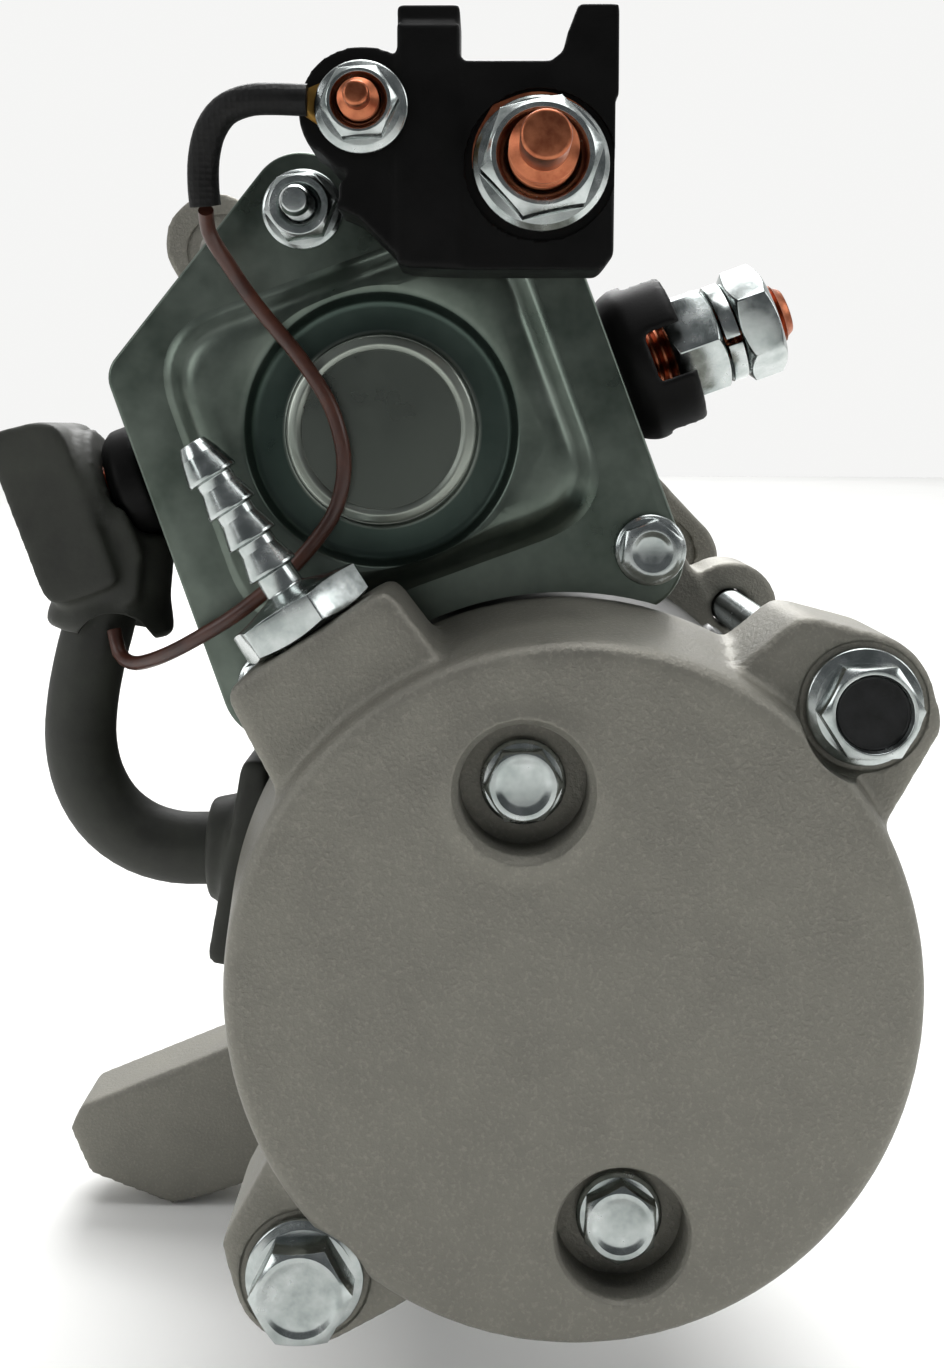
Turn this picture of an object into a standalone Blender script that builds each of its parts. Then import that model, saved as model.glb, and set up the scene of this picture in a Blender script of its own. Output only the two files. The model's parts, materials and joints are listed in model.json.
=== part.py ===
"""Offset gear-reduction starter motor, with its solenoid on the pinion's axis.

The origin is on the pinion's axis, in the face of the mounting flange. +Y points
from the rear end frame to the pinion, +Z is up and +X is to the right, as seen
from behind. Every size below is in millimetres, and the helpers turn it to metres.
"""

import math

import bmesh
import bpy
import numpy as np
from mathutils import Matrix, Vector

MM = 0.001
GAP = 0.3  # clearance between pieces that touch

# The line from the motor's axis to the pinion's axis leans to the left by this much.
TILT = math.radians(20)

# Gear train: armature pinion, idler and clutch gear stand in one line.
GEAR_MODULE = 1.75
ARMATURE_TEETH = 11
IDLER_TEETH = 22
CLUTCH_TEETH = 43
PINION_MODULE = 3.0
PINION_TEETH = 11
TO_IDLER = GEAR_MODULE * (ARMATURE_TEETH + IDLER_TEETH) / 2
IDLER_TO_CLUTCH = GEAR_MODULE * (IDLER_TEETH + CLUTCH_TEETH) / 2
AXIS_SPREAD = TO_IDLER + IDLER_TO_CLUTCH
GEARS_Y = (-36.0, -22.0)
STROKE = 13.0  # travel of the plunger and the pinion

# Stations along the axis, from the rear face to the nose.
REAR_FACE = -205.0
YOKE_REAR = -169.0
YOKE_FRONT = -62.0
GEARS_REAR = -40.0
FLANGE_REAR = -14.0

# Motor casing radii, from the motor's axis.
FACE_RADIUS = 50.0
RIM_RADIUS = 53.5
YOKE_OUTER = 51.0
YOKE_INNER = 45.0
BOLT_CIRCLE = 58.6
BOLT_ANGLES = (math.radians(43), math.radians(228))
LOBE_REAR = -197.0
BRUSH_BOLTS = ((-7.2, 29.1), (6.8, -34.2))

# Solenoid, from the pinion's axis in the leaning frame.
CAN_RADIUS = 33.0
CAN_REAR = -139.0
COVER_REAR = -172.0
COVER_FRONT = -169.9
PLATEAU_REAR = -177.5
HALF_WIDTH = 39.3
COVER_BOTTOM = -42.0
EAVES = 25.5
APEX = 38.8
APEX_RADIUS = 8.5
CORNER_SCREWS = ((33.9, -33.0), (-30.6, -32.6))
TERMINAL_Y = -155.0
BATTERY_V = -4.0
MOTOR_V = 6.0

# Terminal block, in the upright frame: its studs stand at (x, z).
BLOCK_REAR = -193.0
POWER_STUD = (24.9, 39.6)
SIGNAL_STUD = (-1.8, 47.8)

# Vent fitting: centre of its hex and the lean of its axis.
VENT_HEX = Vector((-11.4, -189.5, -27.8))
VENT_LEAN = math.radians(122.7)

# Mounting flange: three ears on one circle round the pinion's axis.
EAR_CIRCLE = 71.3
EAR_HOLE_CIRCLE = 68.0
EAR_ANGLES = tuple(math.radians(a) for a in (138, 246, 332))
EAR_RADIUS = 12.8
EAR_HOLE = 6.5

ROUND = 24  # steps in a full turn of a large round piece
SMALL_ROUND = 12


def leaning(u, v):
    """The upright (x, z) of a point in the leaning frame."""
    c, s = math.cos(TILT), math.sin(TILT)
    return u * c - v * s, u * s + v * c


PINION_AXIS = (0.0, 0.0)
MOTOR_AXIS = leaning(0, -AXIS_SPREAD)
IDLER_AXIS = leaning(0, -IDLER_TO_CLUTCH)
BOLT_AXES = tuple(
    (MOTOR_AXIS[0] + BOLT_CIRCLE * math.cos(a), MOTOR_AXIS[1] + BOLT_CIRCLE * math.sin(a))
    for a in BOLT_ANGLES
)


# ---------------------------------------------------------------- scene and materials


def clear_scene():
    for obj in list(bpy.data.objects):
        bpy.data.objects.remove(obj)


def new_collection(name):
    made = bpy.data.collections.new(name)
    bpy.context.scene.collection.children.link(made)
    return made


clear_scene()
PARTS = new_collection("starter_motor")
CUTTERS = new_collection("cutters")


def material(name, red, green, blue, roughness, metallic):
    made = bpy.data.materials.new(name)
    made.use_nodes = True
    shader = made.node_tree.nodes["Principled BSDF"]
    shader.inputs["Base Color"].default_value = (red, green, blue, 1)
    shader.inputs["Roughness"].default_value = roughness
    shader.inputs["Metallic"].default_value = metallic
    made.diffuse_color = (red, green, blue, 1)
    return made


CAST = material("cast_aluminium", 0.22, 0.20, 0.18, 0.55, 0.8)
PAINTED = material("painted_steel", 0.05, 0.05, 0.05, 0.45, 0.3)
PLATED = material("zinc_plated_cover", 0.26, 0.29, 0.28, 0.35, 0.9)
ZINC = material("bright_zinc", 0.62, 0.64, 0.66, 0.25, 1.0)
STEEL = material("machined_steel", 0.42, 0.42, 0.43, 0.3, 1.0)
COPPER = material("copper", 0.72, 0.30, 0.20, 0.35, 1.0)
PLASTIC = material("black_moulded_plastic", 0.012, 0.012, 0.013, 0.45, 0.0)
RUBBER = material("dark_rubber", 0.05, 0.045, 0.04, 0.75, 0.0)
SLEEVE = material("black_sleeve", 0.02, 0.02, 0.02, 0.6, 0.0)
BROWN = material("brown_insulation", 0.11, 0.035, 0.02, 0.5, 0.0)
CARBON = material("carbon_brush", 0.06, 0.06, 0.065, 0.6, 0.2)
SPRING = material("spring_steel", 0.35, 0.35, 0.36, 0.35, 1.0)


# ---------------------------------------------------------------- frames and outlines


def rear_frame(at=PINION_AXIS, lean=0.0):
    """Local x is right, local y is up and local z points back, towards -Y."""
    place = Matrix.Translation(Vector((at[0], 0, at[1])) * MM)
    return place @ Matrix.Rotation(math.pi / 2, 4, "X") @ Matrix.Rotation(lean, 4, "Z")


def axis_frame(origin, direction):
    """Local z runs from the origin along a direction."""
    turn = Vector(direction).to_track_quat("Z", "Y").to_matrix().to_4x4()
    return Matrix.Translation(Vector(origin) * MM) @ turn


UPRIGHT = rear_frame()
LEANING = rear_frame(lean=TILT)
AT_MOTOR = rear_frame(MOTOR_AXIS)


def arc(centre, radius, start, end, count):
    """Points on an arc, with both ends in it. Angles are in degrees."""
    angles = np.radians(np.linspace(start, end, count))
    return [(centre[0] + radius * math.cos(a), centre[1] + radius * math.sin(a)) for a in angles]


def circle(centre, radius, count=SMALL_ROUND):
    return arc(centre, radius, 0, 360, count + 1)[:-1]


def hull(points):
    """The convex outline round a set of points, anticlockwise."""
    ordered = sorted(set(points))

    def half(run):
        kept = []
        for p in run:
            while len(kept) > 1 and turn_of(kept[-2], kept[-1], p) <= 0:
                kept.pop()
            kept.append(p)
        return kept[:-1]

    return half(ordered) + half(reversed(ordered))


def turn_of(a, b, c):
    return (b[0] - a[0]) * (c[1] - a[1]) - (b[1] - a[1]) * (c[0] - a[0])


def rounded_box(left, bottom, right, top, radius, count=5):
    """A rectangle with round corners, anticlockwise."""
    corners = ((right, top, 0), (left, top, 90), (left, bottom, 180), (right, bottom, 270))
    points = []
    for x, y, start in corners:
        inward_x = x - radius if x == right else x + radius
        inward_y = y - radius if y == top else y + radius
        points += arc((inward_x, inward_y), radius, start, start + 90, count)
    return points


def gear_outline(teeth, module, thinning=0.12, flank_steps=2, shift=0.0):
    """An involute gear at 20 degrees of pressure angle, with a tooth on +X."""
    pitch = teeth * module / 2
    base = pitch * math.cos(math.radians(20))
    tip = pitch + module * (1.0 + shift)
    root = pitch - module * (1.25 - shift)
    half_tooth = (math.pi * module / 2 - thinning) / (2 * pitch)
    half_tooth += 2 * shift * math.tan(math.radians(20)) * module / (2 * pitch)

    def involute(radius):
        ratio = max(radius / base, 1.0)
        return math.sqrt(ratio * ratio - 1) - math.acos(1 / ratio)

    start = max(base, root)
    at_pitch = half_tooth + involute(pitch)
    radii = np.linspace(start, tip, flank_steps)
    flank = [(r, at_pitch - involute(r)) for r in radii]
    points = []
    for tooth in range(teeth):
        middle = 2 * math.pi * tooth / teeth
        sides = [(root, -flank[0][1])] if root < start - 1e-6 else []
        sides += [(r, -a) for r, a in flank]
        sides += [(r, a) for r, a in reversed(flank)]
        sides += [(root, flank[0][1])] if root < start - 1e-6 else []
        points += [(r * math.cos(middle + a), r * math.sin(middle + a)) for r, a in sides]
    return points


# ---------------------------------------------------------------- solids


def new_object(name, mesh, finish, frame):
    mesh.materials.append(finish)
    made = bpy.data.objects.new(name, mesh)
    made.matrix_world = frame
    PARTS.objects.link(made)
    return made


def turned(name, profile, finish, frame, steps=ROUND):
    """Turns (radius, height) points about local z. The outer side runs downwards."""
    closed = profile[0][0] > 0 or profile[-1][0] > 0
    points = [(r * MM, 0, h * MM) for r, h in profile]
    edges = [(i, i + 1) for i in range(len(points) - 1)]
    if closed:
        edges.append((len(points) - 1, 0))
    mesh = bpy.data.meshes.new(name)
    mesh.from_pydata(points, edges, [])
    made = new_object(name, mesh, finish, frame)
    screw = made.modifiers.new("Turn", "SCREW")
    screw.steps = steps
    screw.render_steps = steps
    screw.use_merge_vertices = True
    screw.merge_threshold = 0.00001
    return made


def lathe(name, profile, finish, at=PINION_AXIS, steps=ROUND):
    """Turns (radius, y) points about an axis along Y. The outer side runs forwards."""
    return turned(name, [(r, -y) for r, y in profile], finish, rear_frame(at), steps)


def rod(name, radius, rear, front, finish, at=PINION_AXIS, steps=SMALL_ROUND):
    return lathe(name, [(0, rear), (radius, rear), (radius, front), (0, front)], finish, at, steps)


def ring(name, outer, inner, rear, front, finish, at=PINION_AXIS, steps=ROUND):
    profile = [(outer, rear), (outer, front), (inner, front), (inner, rear)]
    return lathe(name, profile, finish, at, steps)


def prism(name, outline, low, high, finish, frame, holes=()):
    """A flat outline between two heights of a frame, with holes through it."""
    curve = bpy.data.curves.new(name, "CURVE")
    curve.dimensions = "2D"
    curve.fill_mode = "BOTH"
    curve.extrude = (high - low) / 2 * MM
    for points in (outline, *holes):
        spline = curve.splines.new("POLY")
        spline.points.add(len(points) - 1)
        for slot, (x, y) in zip(spline.points, points):
            slot.co = (x * MM, y * MM, 0, 1)
        spline.use_cyclic_u = True
    drawn = bpy.data.objects.new(name, curve)
    PARTS.objects.link(drawn)
    drawn.matrix_world = frame @ Matrix.Translation((0, 0, (low + high) / 2 * MM))
    return as_mesh(drawn, finish)


def as_mesh(drawn, finish):
    """Turns a curve object into a closed mesh object of the same name and place."""
    bpy.context.view_layer.update()
    evaluated = drawn.evaluated_get(bpy.context.evaluated_depsgraph_get())
    mesh = bpy.data.meshes.new_from_object(evaluated)
    work = bmesh.new()
    work.from_mesh(mesh)
    bmesh.ops.remove_doubles(work, verts=work.verts, dist=0.000001)
    bmesh.ops.recalc_face_normals(work, faces=work.faces)
    work.to_mesh(mesh)
    work.free()
    name = drawn.name
    frame = drawn.matrix_world.copy()
    bpy.data.objects.remove(drawn)
    mesh.materials.clear()
    return new_object(name, mesh, finish, frame)


def plate(name, outline, rear, front, finish, frame=UPRIGHT, holes=()):
    """A flat outline between two stations of Y."""
    return prism(name, outline, -front, -rear, finish, frame, holes)


def tube(name, route, radius, finish, sides=2):
    """A round bar along points (x, y, z)."""
    curve = bpy.data.curves.new(name, "CURVE")
    curve.dimensions = "3D"
    curve.bevel_depth = radius * MM
    curve.bevel_resolution = sides
    curve.use_fill_caps = True
    spline = curve.splines.new("POLY")
    spline.points.add(len(route) - 1)
    for slot, point in zip(spline.points, route):
        slot.co = (point[0] * MM, point[1] * MM, point[2] * MM, 1)
    drawn = bpy.data.objects.new(name, curve)
    PARTS.objects.link(drawn)
    return as_mesh(drawn, finish)


def smooth_route(points, step):
    """Points about a step apart on a Catmull-Rom curve through the given points."""
    knots = [np.array(p, float) for p in points]
    knots = [2 * knots[0] - knots[1], *knots, 2 * knots[-1] - knots[-2]]
    dense = []
    for a, b, c, d in zip(knots, knots[1:], knots[2:], knots[3:]):
        for t in np.linspace(0, 1, 24, endpoint=False):
            dense.append(
                0.5 * (2 * b + (c - a) * t + (2 * a - 5 * b + 4 * c - d) * t**2
                       + (3 * b - a - 3 * c + d) * t**3)
            )
    dense = np.array([*dense, knots[-2]])
    along = np.concatenate([[0], np.cumsum(np.linalg.norm(np.diff(dense, axis=0), axis=1))])
    count = max(int(round(along[-1] / step)), 2)
    wanted = np.linspace(0, along[-1], count + 1)
    return np.stack([np.interp(wanted, along, dense[:, i]) for i in range(3)], axis=1)


def set_aside(tool):
    tool.hide_render = True
    tool.display_type = "WIRE"
    PARTS.objects.unlink(tool)
    CUTTERS.objects.link(tool)


def combine(target, operation, *tools):
    for tool in tools:
        modifier = target.modifiers.new(operation.title(), "BOOLEAN")
        modifier.operation = operation
        modifier.solver = "EXACT"
        modifier.object = tool
        set_aside(tool)
    return target


def join(target, *tools):
    return combine(target, "UNION", *tools)


def cut(target, *tools):
    return combine(target, "DIFFERENCE", *tools)


def hexagon(across_flats, turn=0.0, centre=(0.0, 0.0)):
    return arc(centre, across_flats / math.sqrt(3), turn, turn + 360, 7)[:-1]


def flange_nut(name, frame, base, across_flats, flange, height, bore, finish=ZINC):
    """A hex nut on its own washer flange, standing up from a height of a frame."""
    skirt = height * 0.28
    profile = [
        (bore, base + height), (across_flats * 0.42, base + height),
        (across_flats * 0.42, base + skirt), (flange, base + skirt * 0.6),
        (flange, base), (bore, base),
    ]
    nut = turned(name, profile, finish, frame, 16)
    flats = prism(
        name + "_flats", hexagon(across_flats, 15), base + skirt * 0.4, base + height - 0.4,
        finish, frame, holes=[circle((0, 0), bore + 1)],
    )
    return join(nut, flats)


def hex_bolt(name, frame, base, across_flats, flange, head, shank, length, finish=ZINC):
    """A flanged hex bolt whose head stands up from the base and whose shank runs down."""
    profile = [
        (0, base + head), (across_flats * 0.36, base + head),
        (across_flats * 0.36, base + 1.6), (flange, base + 1.3),
        (flange, base), (shank, base), (shank, base - length), (0, base - length),
    ]
    bolt = turned(name, profile, finish, frame, 14)
    flats = prism(
        name + "_flats", hexagon(across_flats, 10), base + 0.8, base + head - 0.6, finish, frame
    )
    return join(bolt, flats)


# ---------------------------------------------------------------- castings


def lobe(name, bolt, radius, rear, front, spread=17):
    """A casting lobe from the motor's casing out to a through bolt."""
    local = (bolt[0] - MOTOR_AXIS[0], bolt[1] - MOTOR_AXIS[1])
    foot = (local[0] * 0.66, local[1] * 0.66)
    outline = hull(circle(local, radius, 16) + circle(foot, spread, 16))
    return plate(name, outline, rear, front, CAST, AT_MOTOR)


def rear_end_frame():
    front = YOKE_REAR - GAP
    profile = [
        (0, REAR_FACE), (FACE_RADIUS - 2.4, REAR_FACE), (FACE_RADIUS - 0.6, REAR_FACE + 0.8),
        (FACE_RADIUS + 0.3, REAR_FACE + 2.6), (RIM_RADIUS, front - 6), (RIM_RADIUS, front),
        (46, front), (46, REAR_FACE + 6), (0, REAR_FACE + 6),
    ]
    frame = lathe("rear_end_frame", profile, CAST, MOTOR_AXIS, 36)
    for bolt in BOLT_AXES:
        join(frame, lobe("lobe", bolt, 12.6, LOBE_REAR, front))
    bearing_seat = ring("bearing_seat", 18, 14.1, REAR_FACE + 5, -189, CAST, MOTOR_AXIS)
    join(frame, bearing_seat)
    for x, z in BRUSH_BOLTS:
        at = (MOTOR_AXIS[0] + x, MOTOR_AXIS[1] + z)
        join(frame, rod("bolt_boss", 11.5, REAR_FACE + 5, -190.5, CAST, at, 16))
    join(frame, vent_boss())
    cut(frame, rod("hollow_again", 13.9, REAR_FACE + 5.7, -160, CAST, MOTOR_AXIS))
    inside = ring("inside", 46, 18.2, -190.3, -160, CAST, MOTOR_AXIS)
    cut(frame, inside)
    for bolt in BOLT_AXES:
        cut(frame, rod("bolt_hole", 4.4, -220, -160, CAST, bolt))
        cut(frame, rod("spot_face", 9.3, -220, LOBE_REAR, CAST, bolt, 16))
    for x, z in BRUSH_BOLTS:
        at = (MOTOR_AXIS[0] + x, MOTOR_AXIS[1] + z)
        cut(frame, rod("counterbore", 9.1, -215, REAR_FACE + 8, CAST, at, 16))
        cut(frame, rod("bolt_hole", 3.4, -215, -180, CAST, at))
    vent = axis_frame(VENT_HEX, vent_direction())
    bore = turned("vent_bore", [(0, 5), (6.8, 5), (6.8, -14), (3, -17), (3, -34), (0, -34)], CAST, vent, 12)
    return cut(frame, bore)


def vent_direction():
    return Vector((math.cos(VENT_LEAN), 0, math.sin(VENT_LEAN)))


def vent_boss():
    """The square boss under the vent fitting. Local x points away from the casing."""
    frame = rear_frame((VENT_HEX.x, VENT_HEX.z), VENT_LEAN)
    outline = rounded_box(-38, -15, -3.2, 15, 2.5, 4)
    return plate("vent_boss", outline, -200.5, PLATEAU_REAR - 0.8, CAST, frame)


def vent_hose_barb():
    profile = [(1.5, 30.5), (2.2, 30.5), (2.4, 29.4)]
    for top in (29.0, 23.4, 17.8, 12.2):
        profile += [(3.0, top - 0.6), (4.0, top - 4.4), (3.0, top - 4.6)]
    profile += [
        (3.0, 3.0), (10.4, 2.9), (11.0, 2.3), (11.0, -2.4), (10.4, -2.9),
        (6.4, -2.9), (6.4, -12.5), (1.5, -12.5),
    ]
    frame = axis_frame(VENT_HEX, vent_direction())
    barb = turned("vent_hose_barb", profile, ZINC, frame, 14)
    outside = prism(
        "outside", circle((0, 0), 13, 12), -4, 4, ZINC, frame, holes=[hexagon(19.5, 20)]
    )
    return cut(barb, outside)


def yoke():
    tube_wall = ring("yoke", YOKE_OUTER, YOKE_INNER, YOKE_REAR, YOKE_FRONT - GAP, PAINTED, MOTOR_AXIS, 36)
    slot = plate("lead_slot", rounded_box(-60, -13, -40, 13, 1, 2), -175, -148, PAINTED, grommet_frame())
    return cut(tube_wall, slot)


def grommet_frame():
    """Local x points away from where the lead enters the yoke, on the left."""
    return rear_frame(MOTOR_AXIS, math.radians(-10))


def gear_housing():
    rear, front = YOKE_FRONT, GEARS_REAR - GAP
    motor = leaning_point(MOTOR_AXIS)
    outline = hull(circle(motor, RIM_RADIUS, 32) + circle((0, 0), 40, 24))
    body = plate("gear_housing", outline, rear, front, CAST, LEANING)
    for bolt in BOLT_AXES:
        join(body, lobe("ear", bolt, 10.5, rear + 0.6, front - 0.6, 16))
    join(body, stay_lug())
    cuts = [
        rod("end_winding_room", 40, rear - 1, rear + 7, CAST, MOTOR_AXIS, 24),
        rod("bearing_room", 18.1, rear + 9.7, front + 5, CAST, MOTOR_AXIS, 20),
        rod("shaft_hole", 9.5, rear - 5, front + 5, CAST, MOTOR_AXIS),
        rod("clutch_bearing_room", 26.6, -52.3, front + 5, CAST, steps=24),
        rod("push_rod_hole", 6.5, rear - 5, front + 5, CAST),
        rod("idler_pin_hole", 5.3, -52, front + 5, CAST, IDLER_AXIS),
    ]
    for bolt in BOLT_AXES:
        cuts.append(rod("thread", 4.4, rear - 5, front + 5, CAST, bolt))
    for point in HOUSING_SCREWS:
        cuts.append(rod("screw_hole", 3.4, -52, front + 5, CAST, point))
    return cut(body, *cuts)


def leaning_point(point):
    """The leaning (u, v) of an upright (x, z)."""
    c, s = math.cos(TILT), math.sin(TILT)
    return point[0] * c + point[1] * s, -point[0] * s + point[1] * c


def stay_lug():
    """The support lug at the lower left, with a plain end face."""
    v = -AXIS_SPREAD
    outline = [
        (-30, v - 30), (-30, v - 64), (-104, v - 62), (-112, v - 61), (-127, v - 48),
        (-128, v - 36), (-124, v - 33),
    ]
    return plate("lug", outline, YOKE_FRONT + 0.3, GEARS_REAR - 0.6, CAST, LEANING)


HOUSING_SCREWS = (leaning(-36, -33), leaning(36, -33))


def flange_outline():
    """Three round ears, with the edge drawn in to the casing between them."""
    points = []
    for number, angle in enumerate(EAR_ANGLES):
        out = math.degrees(angle)
        onward = math.degrees(EAR_ANGLES[(number + 1) % 3]) + (360 if number == 2 else 0)
        centre = (EAR_CIRCLE * math.cos(angle), EAR_CIRCLE * math.sin(angle))
        points += arc(centre, EAR_RADIUS, out - 80, out + 80, 9)
        points += arc((0, 0), 47.5, out + 30, onward - 30, 8)
    return points


def drive_housing():
    motor = leaning_point(MOTOR_AXIS)
    idler = leaning_point(IDLER_AXIS)
    rear = GEARS_REAR
    outline = hull(circle((0, 0), 46, 28) + circle(idler, 38, 20) + circle(motor, 24, 16))
    body = plate("drive_housing", outline, rear, -12, CAST, LEANING)
    flange = plate("flange", flange_outline(), FLANGE_REAR, 0, CAST)
    nose = lathe(
        "nose", [(0, -4.5), (41, -4.5), (41, 6), (32, 7), (29, 12), (27, 20), (0, 20)], CAST, steps=28
    )
    join(body, flange, nose)
    room = hull(circle((0, 0), 41, 24) + circle(idler, 22.5, 16) + circle(motor, 13.5, 12))
    cuts = [
        plate("gear_room", room, rear - 2, -19, CAST, LEANING),
        rod("front_bearing_room", 31.5, -27, -1.7, CAST, steps=24),
        rod("sleeve_hole", 21, -17, 30, CAST, steps=20),
        rod("idler_pin_hole", 5.3, -25, -15, CAST, IDLER_AXIS),
    ]
    for angle in EAR_ANGLES:
        at = (EAR_HOLE_CIRCLE * math.cos(angle), EAR_HOLE_CIRCLE * math.sin(angle))
        cuts.append(rod("mounting_hole", EAR_HOLE, -25, 10, CAST, at, 16))
    for point in HOUSING_SCREWS:
        cuts.append(rod("screw_hole", 3.4, rear - 2, -24, CAST, point))
    return cut(body, *cuts)


# ---------------------------------------------------------------- motor


def armature():
    rod_profile = [
        (0, -198), (4.9, -198), (4.9, -189.5), (6, -189.5), (6, -62), (8.8, -62), (8.8, -52.6),
        (7.4, -52.6), (7.4, -39), (6.5, -39), (6.5, -20.6), (0, -20.6),
    ]
    shaft = lathe("armature_shaft", rod_profile, STEEL, MOTOR_AXIS, 16)
    teeth = plate(
        "armature_teeth", gear_outline(ARMATURE_TEETH, GEAR_MODULE, shift=0.1), GEARS_Y[0] - 1,
        GEARS_Y[1], STEEL, rear_frame(MOTOR_AXIS, TILT + math.pi / 2 + math.pi / ARMATURE_TEETH),
    )
    join(shaft, teeth)
    core_profile = [
        (24, -162), (27, -159), (28, -150), (31.5, -149), (31.5, -80), (28, -79), (27, -70),
        (24, -67), (6.3, -67), (6.3, -162),
    ]
    lathe("armature_core", core_profile, STEEL, MOTOR_AXIS)
    ring("commutator", 15.5, 6.3, -184, -162.3, COPPER, MOTOR_AXIS, 24)


def bearings():
    ring("rear_bearing", 13.6, 5.2, -198.7, -190, STEEL, MOTOR_AXIS, 20)
    ring("front_bearing", 17.5, 7.7, -52, -41.2, STEEL, MOTOR_AXIS, 20)
    ring("clutch_rear_bearing", 26, 17.3, -52, -42, STEEL, steps=24)
    ring("clutch_front_bearing", 31, 20.3, -16, -2, STEEL, steps=24)


def field():
    """Four pole cores in the yoke, and the field winding between them as one ring."""
    for number in range(4):
        middle = 90 * number + 45
        outer = arc((0, 0), YOKE_INNER - GAP - 0.1, middle - 24, middle + 24, 7)
        inner = arc((0, 0), 32.8, middle + 32, middle - 32, 8)
        wide = arc((0, 0), 35.0, middle - 32, middle + 32, 2)
        neck_in = arc((0, 0), 35.0, middle + 24, middle - 24, 2)
        outline = [*outer, neck_in[0], wide[1], *inner, wide[0], neck_in[1]]
        plate(f"pole_core_{number + 1}", outline, -148, -82, PAINTED, AT_MOTOR)
    winding = ring("field_winding", YOKE_INNER - 2.3, 36, -156, -72, COPPER, MOTOR_AXIS, 28)
    for number in range(4):
        middle = 90 * number + 45
        gap_outline = [
            *arc((0, 0), 50, middle - 25.5, middle + 25.5, 6), *arc((0, 0), 30, middle + 25.5, middle - 25.5, 6)
        ]
        cut(winding, plate("pole_room", gap_outline, -148.4, -81.6, COPPER, AT_MOTOR))


def brushes():
    """Four brushes in boxes on one plate, each with a bent leaf spring on its plate."""
    plate_ring = ring("brush_plate", 44.5, 17.5, -188, -185.2, PLATED, MOTOR_AXIS, 28)
    for number in range(4):
        frame = rear_frame(MOTOR_AXIS, math.radians(90 * number + 25))
        box = plate(
            "brush_box", rounded_box(19, -8, 36, 8, 0.5, 2), -186, -168, PLATED, frame
        )
        room = plate("brush_room", rounded_box(10, -5.8, 40, 5.8, 0.2, 2), -184.9, -170, PLATED, frame)
        join(plate_ring, cut(box, room))
        brush = rounded_box(15.8, -5.4, 34, 5.4, 0.3, 2)
        plate(f"brush_{number + 1}", brush, -184.5, -170.5, CARBON, frame)
    for x, z in BRUSH_BOLTS:
        at = (MOTOR_AXIS[0] + x, MOTOR_AXIS[1] + z)
        cut(plate_ring, rod("bolt_hole", 3.4, -195, -180, PLATED, at))


def fasteners():
    for bolt, place in zip(BOLT_AXES, ("upper", "lower")):
        frame = rear_frame(bolt)
        hex_bolt(f"through_bolt_{place}", frame, -LOBE_REAR + GAP, 12.5, 8.7, 7.5, 4.0, 153)
    for (x, z), place in zip(BRUSH_BOLTS, ("upper", "lower")):
        frame = rear_frame((MOTOR_AXIS[0] + x, MOTOR_AXIS[1] + z))
        hex_bolt(f"brush_plate_bolt_{place}", frame, -REAR_FACE - 8 + GAP, 10, 6.2, 4.6, 3.0, 11.2)
    for number, point in enumerate(HOUSING_SCREWS):
        rod(f"housing_screw_{number + 1}", 3.1, -51, -25, ZINC, point)


# ---------------------------------------------------------------- gear train


def idler():
    outline = gear_outline(IDLER_TEETH, GEAR_MODULE)
    frame = rear_frame(IDLER_AXIS, TILT + math.pi / 2)
    plate("idler_gear", outline, *GEARS_Y, STEEL, frame, holes=[circle((0, 0), 5.4, 20)])
    rod("idler_pin", 5.0, -51, -16, STEEL, IDLER_AXIS)


def clutch():
    """The clutch gear with its drum, and the splined sleeve that it drives."""
    outline = gear_outline(CLUTCH_TEETH, GEAR_MODULE)
    meshed = TILT + math.pi / 2
    bore = circle((0, 0), 25.6, 24)
    gear = plate("clutch_gear", outline, *GEARS_Y, STEEL, rear_frame(PINION_AXIS, meshed), holes=[bore])
    join(gear, ring("drum", 33, 25.6, GEARS_Y[0] - 3, GEARS_Y[0] + 2, STEEL))
    profile = [
        (17, -51.5), (17, -40), (25, -39), (25, -22), (20, -20), (20, 6), (9.7, 6), (9.7, -24),
        (13.6, -24), (13.6, -51.5),
    ]
    lathe("clutch_sleeve", profile, STEEL, steps=24)


def drive_pinion():
    profile = [
        (0, -50), (13.2, -50), (13.2, -46), (9.3, -46), (9.3, 24), (12, 25), (12, 51), (8, 52), (0, 52),
    ]
    shaft = lathe("drive_pinion", profile, STEEL, steps=20)
    teeth = plate("pinion_teeth", gear_outline(PINION_TEETH, PINION_MODULE, shift=0.1), 27, 49, STEEL)
    join(shaft, teeth)


def coil_spring(name, axis, radius, wire, rear, front, turns):
    """A compression spring about an axis along Y."""
    steps = int(turns * 8)
    route = []
    for i in range(steps + 1):
        a = 2 * math.pi * turns * i / steps
        y = rear + wire + (front - rear - 2 * wire) * i / steps
        route.append((axis[0] + radius * math.cos(a), y, axis[1] + radius * math.sin(a)))
    tube(name, route, wire, SPRING, 1)


# ---------------------------------------------------------------- solenoid


def solenoid_outline(shrink=0.0):
    """The house-shaped outline of the cover and the contact housing."""
    w, b, e = HALF_WIDTH - shrink, COVER_BOTTOM + shrink, EAVES - shrink * 0.5
    apex = (0, APEX - shrink)
    corners = [
        *arc((w - 9, b + 9), 9, 270, 360, 4), *arc((w - 5, e - 4), 5, 0, 70, 3),
        *arc(apex, APEX_RADIUS, 60, 120, 4), *arc((5 - w, e - 4), 5, 110, 180, 3),
        *arc((9 - w, b + 9), 9, 180, 270, 4),
    ]
    return hull(corners)


def motor_clearance(rear, front):
    return rod("clearance", RIM_RADIUS + 0.8, rear, front, PLATED, MOTOR_AXIS, 36)


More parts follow.
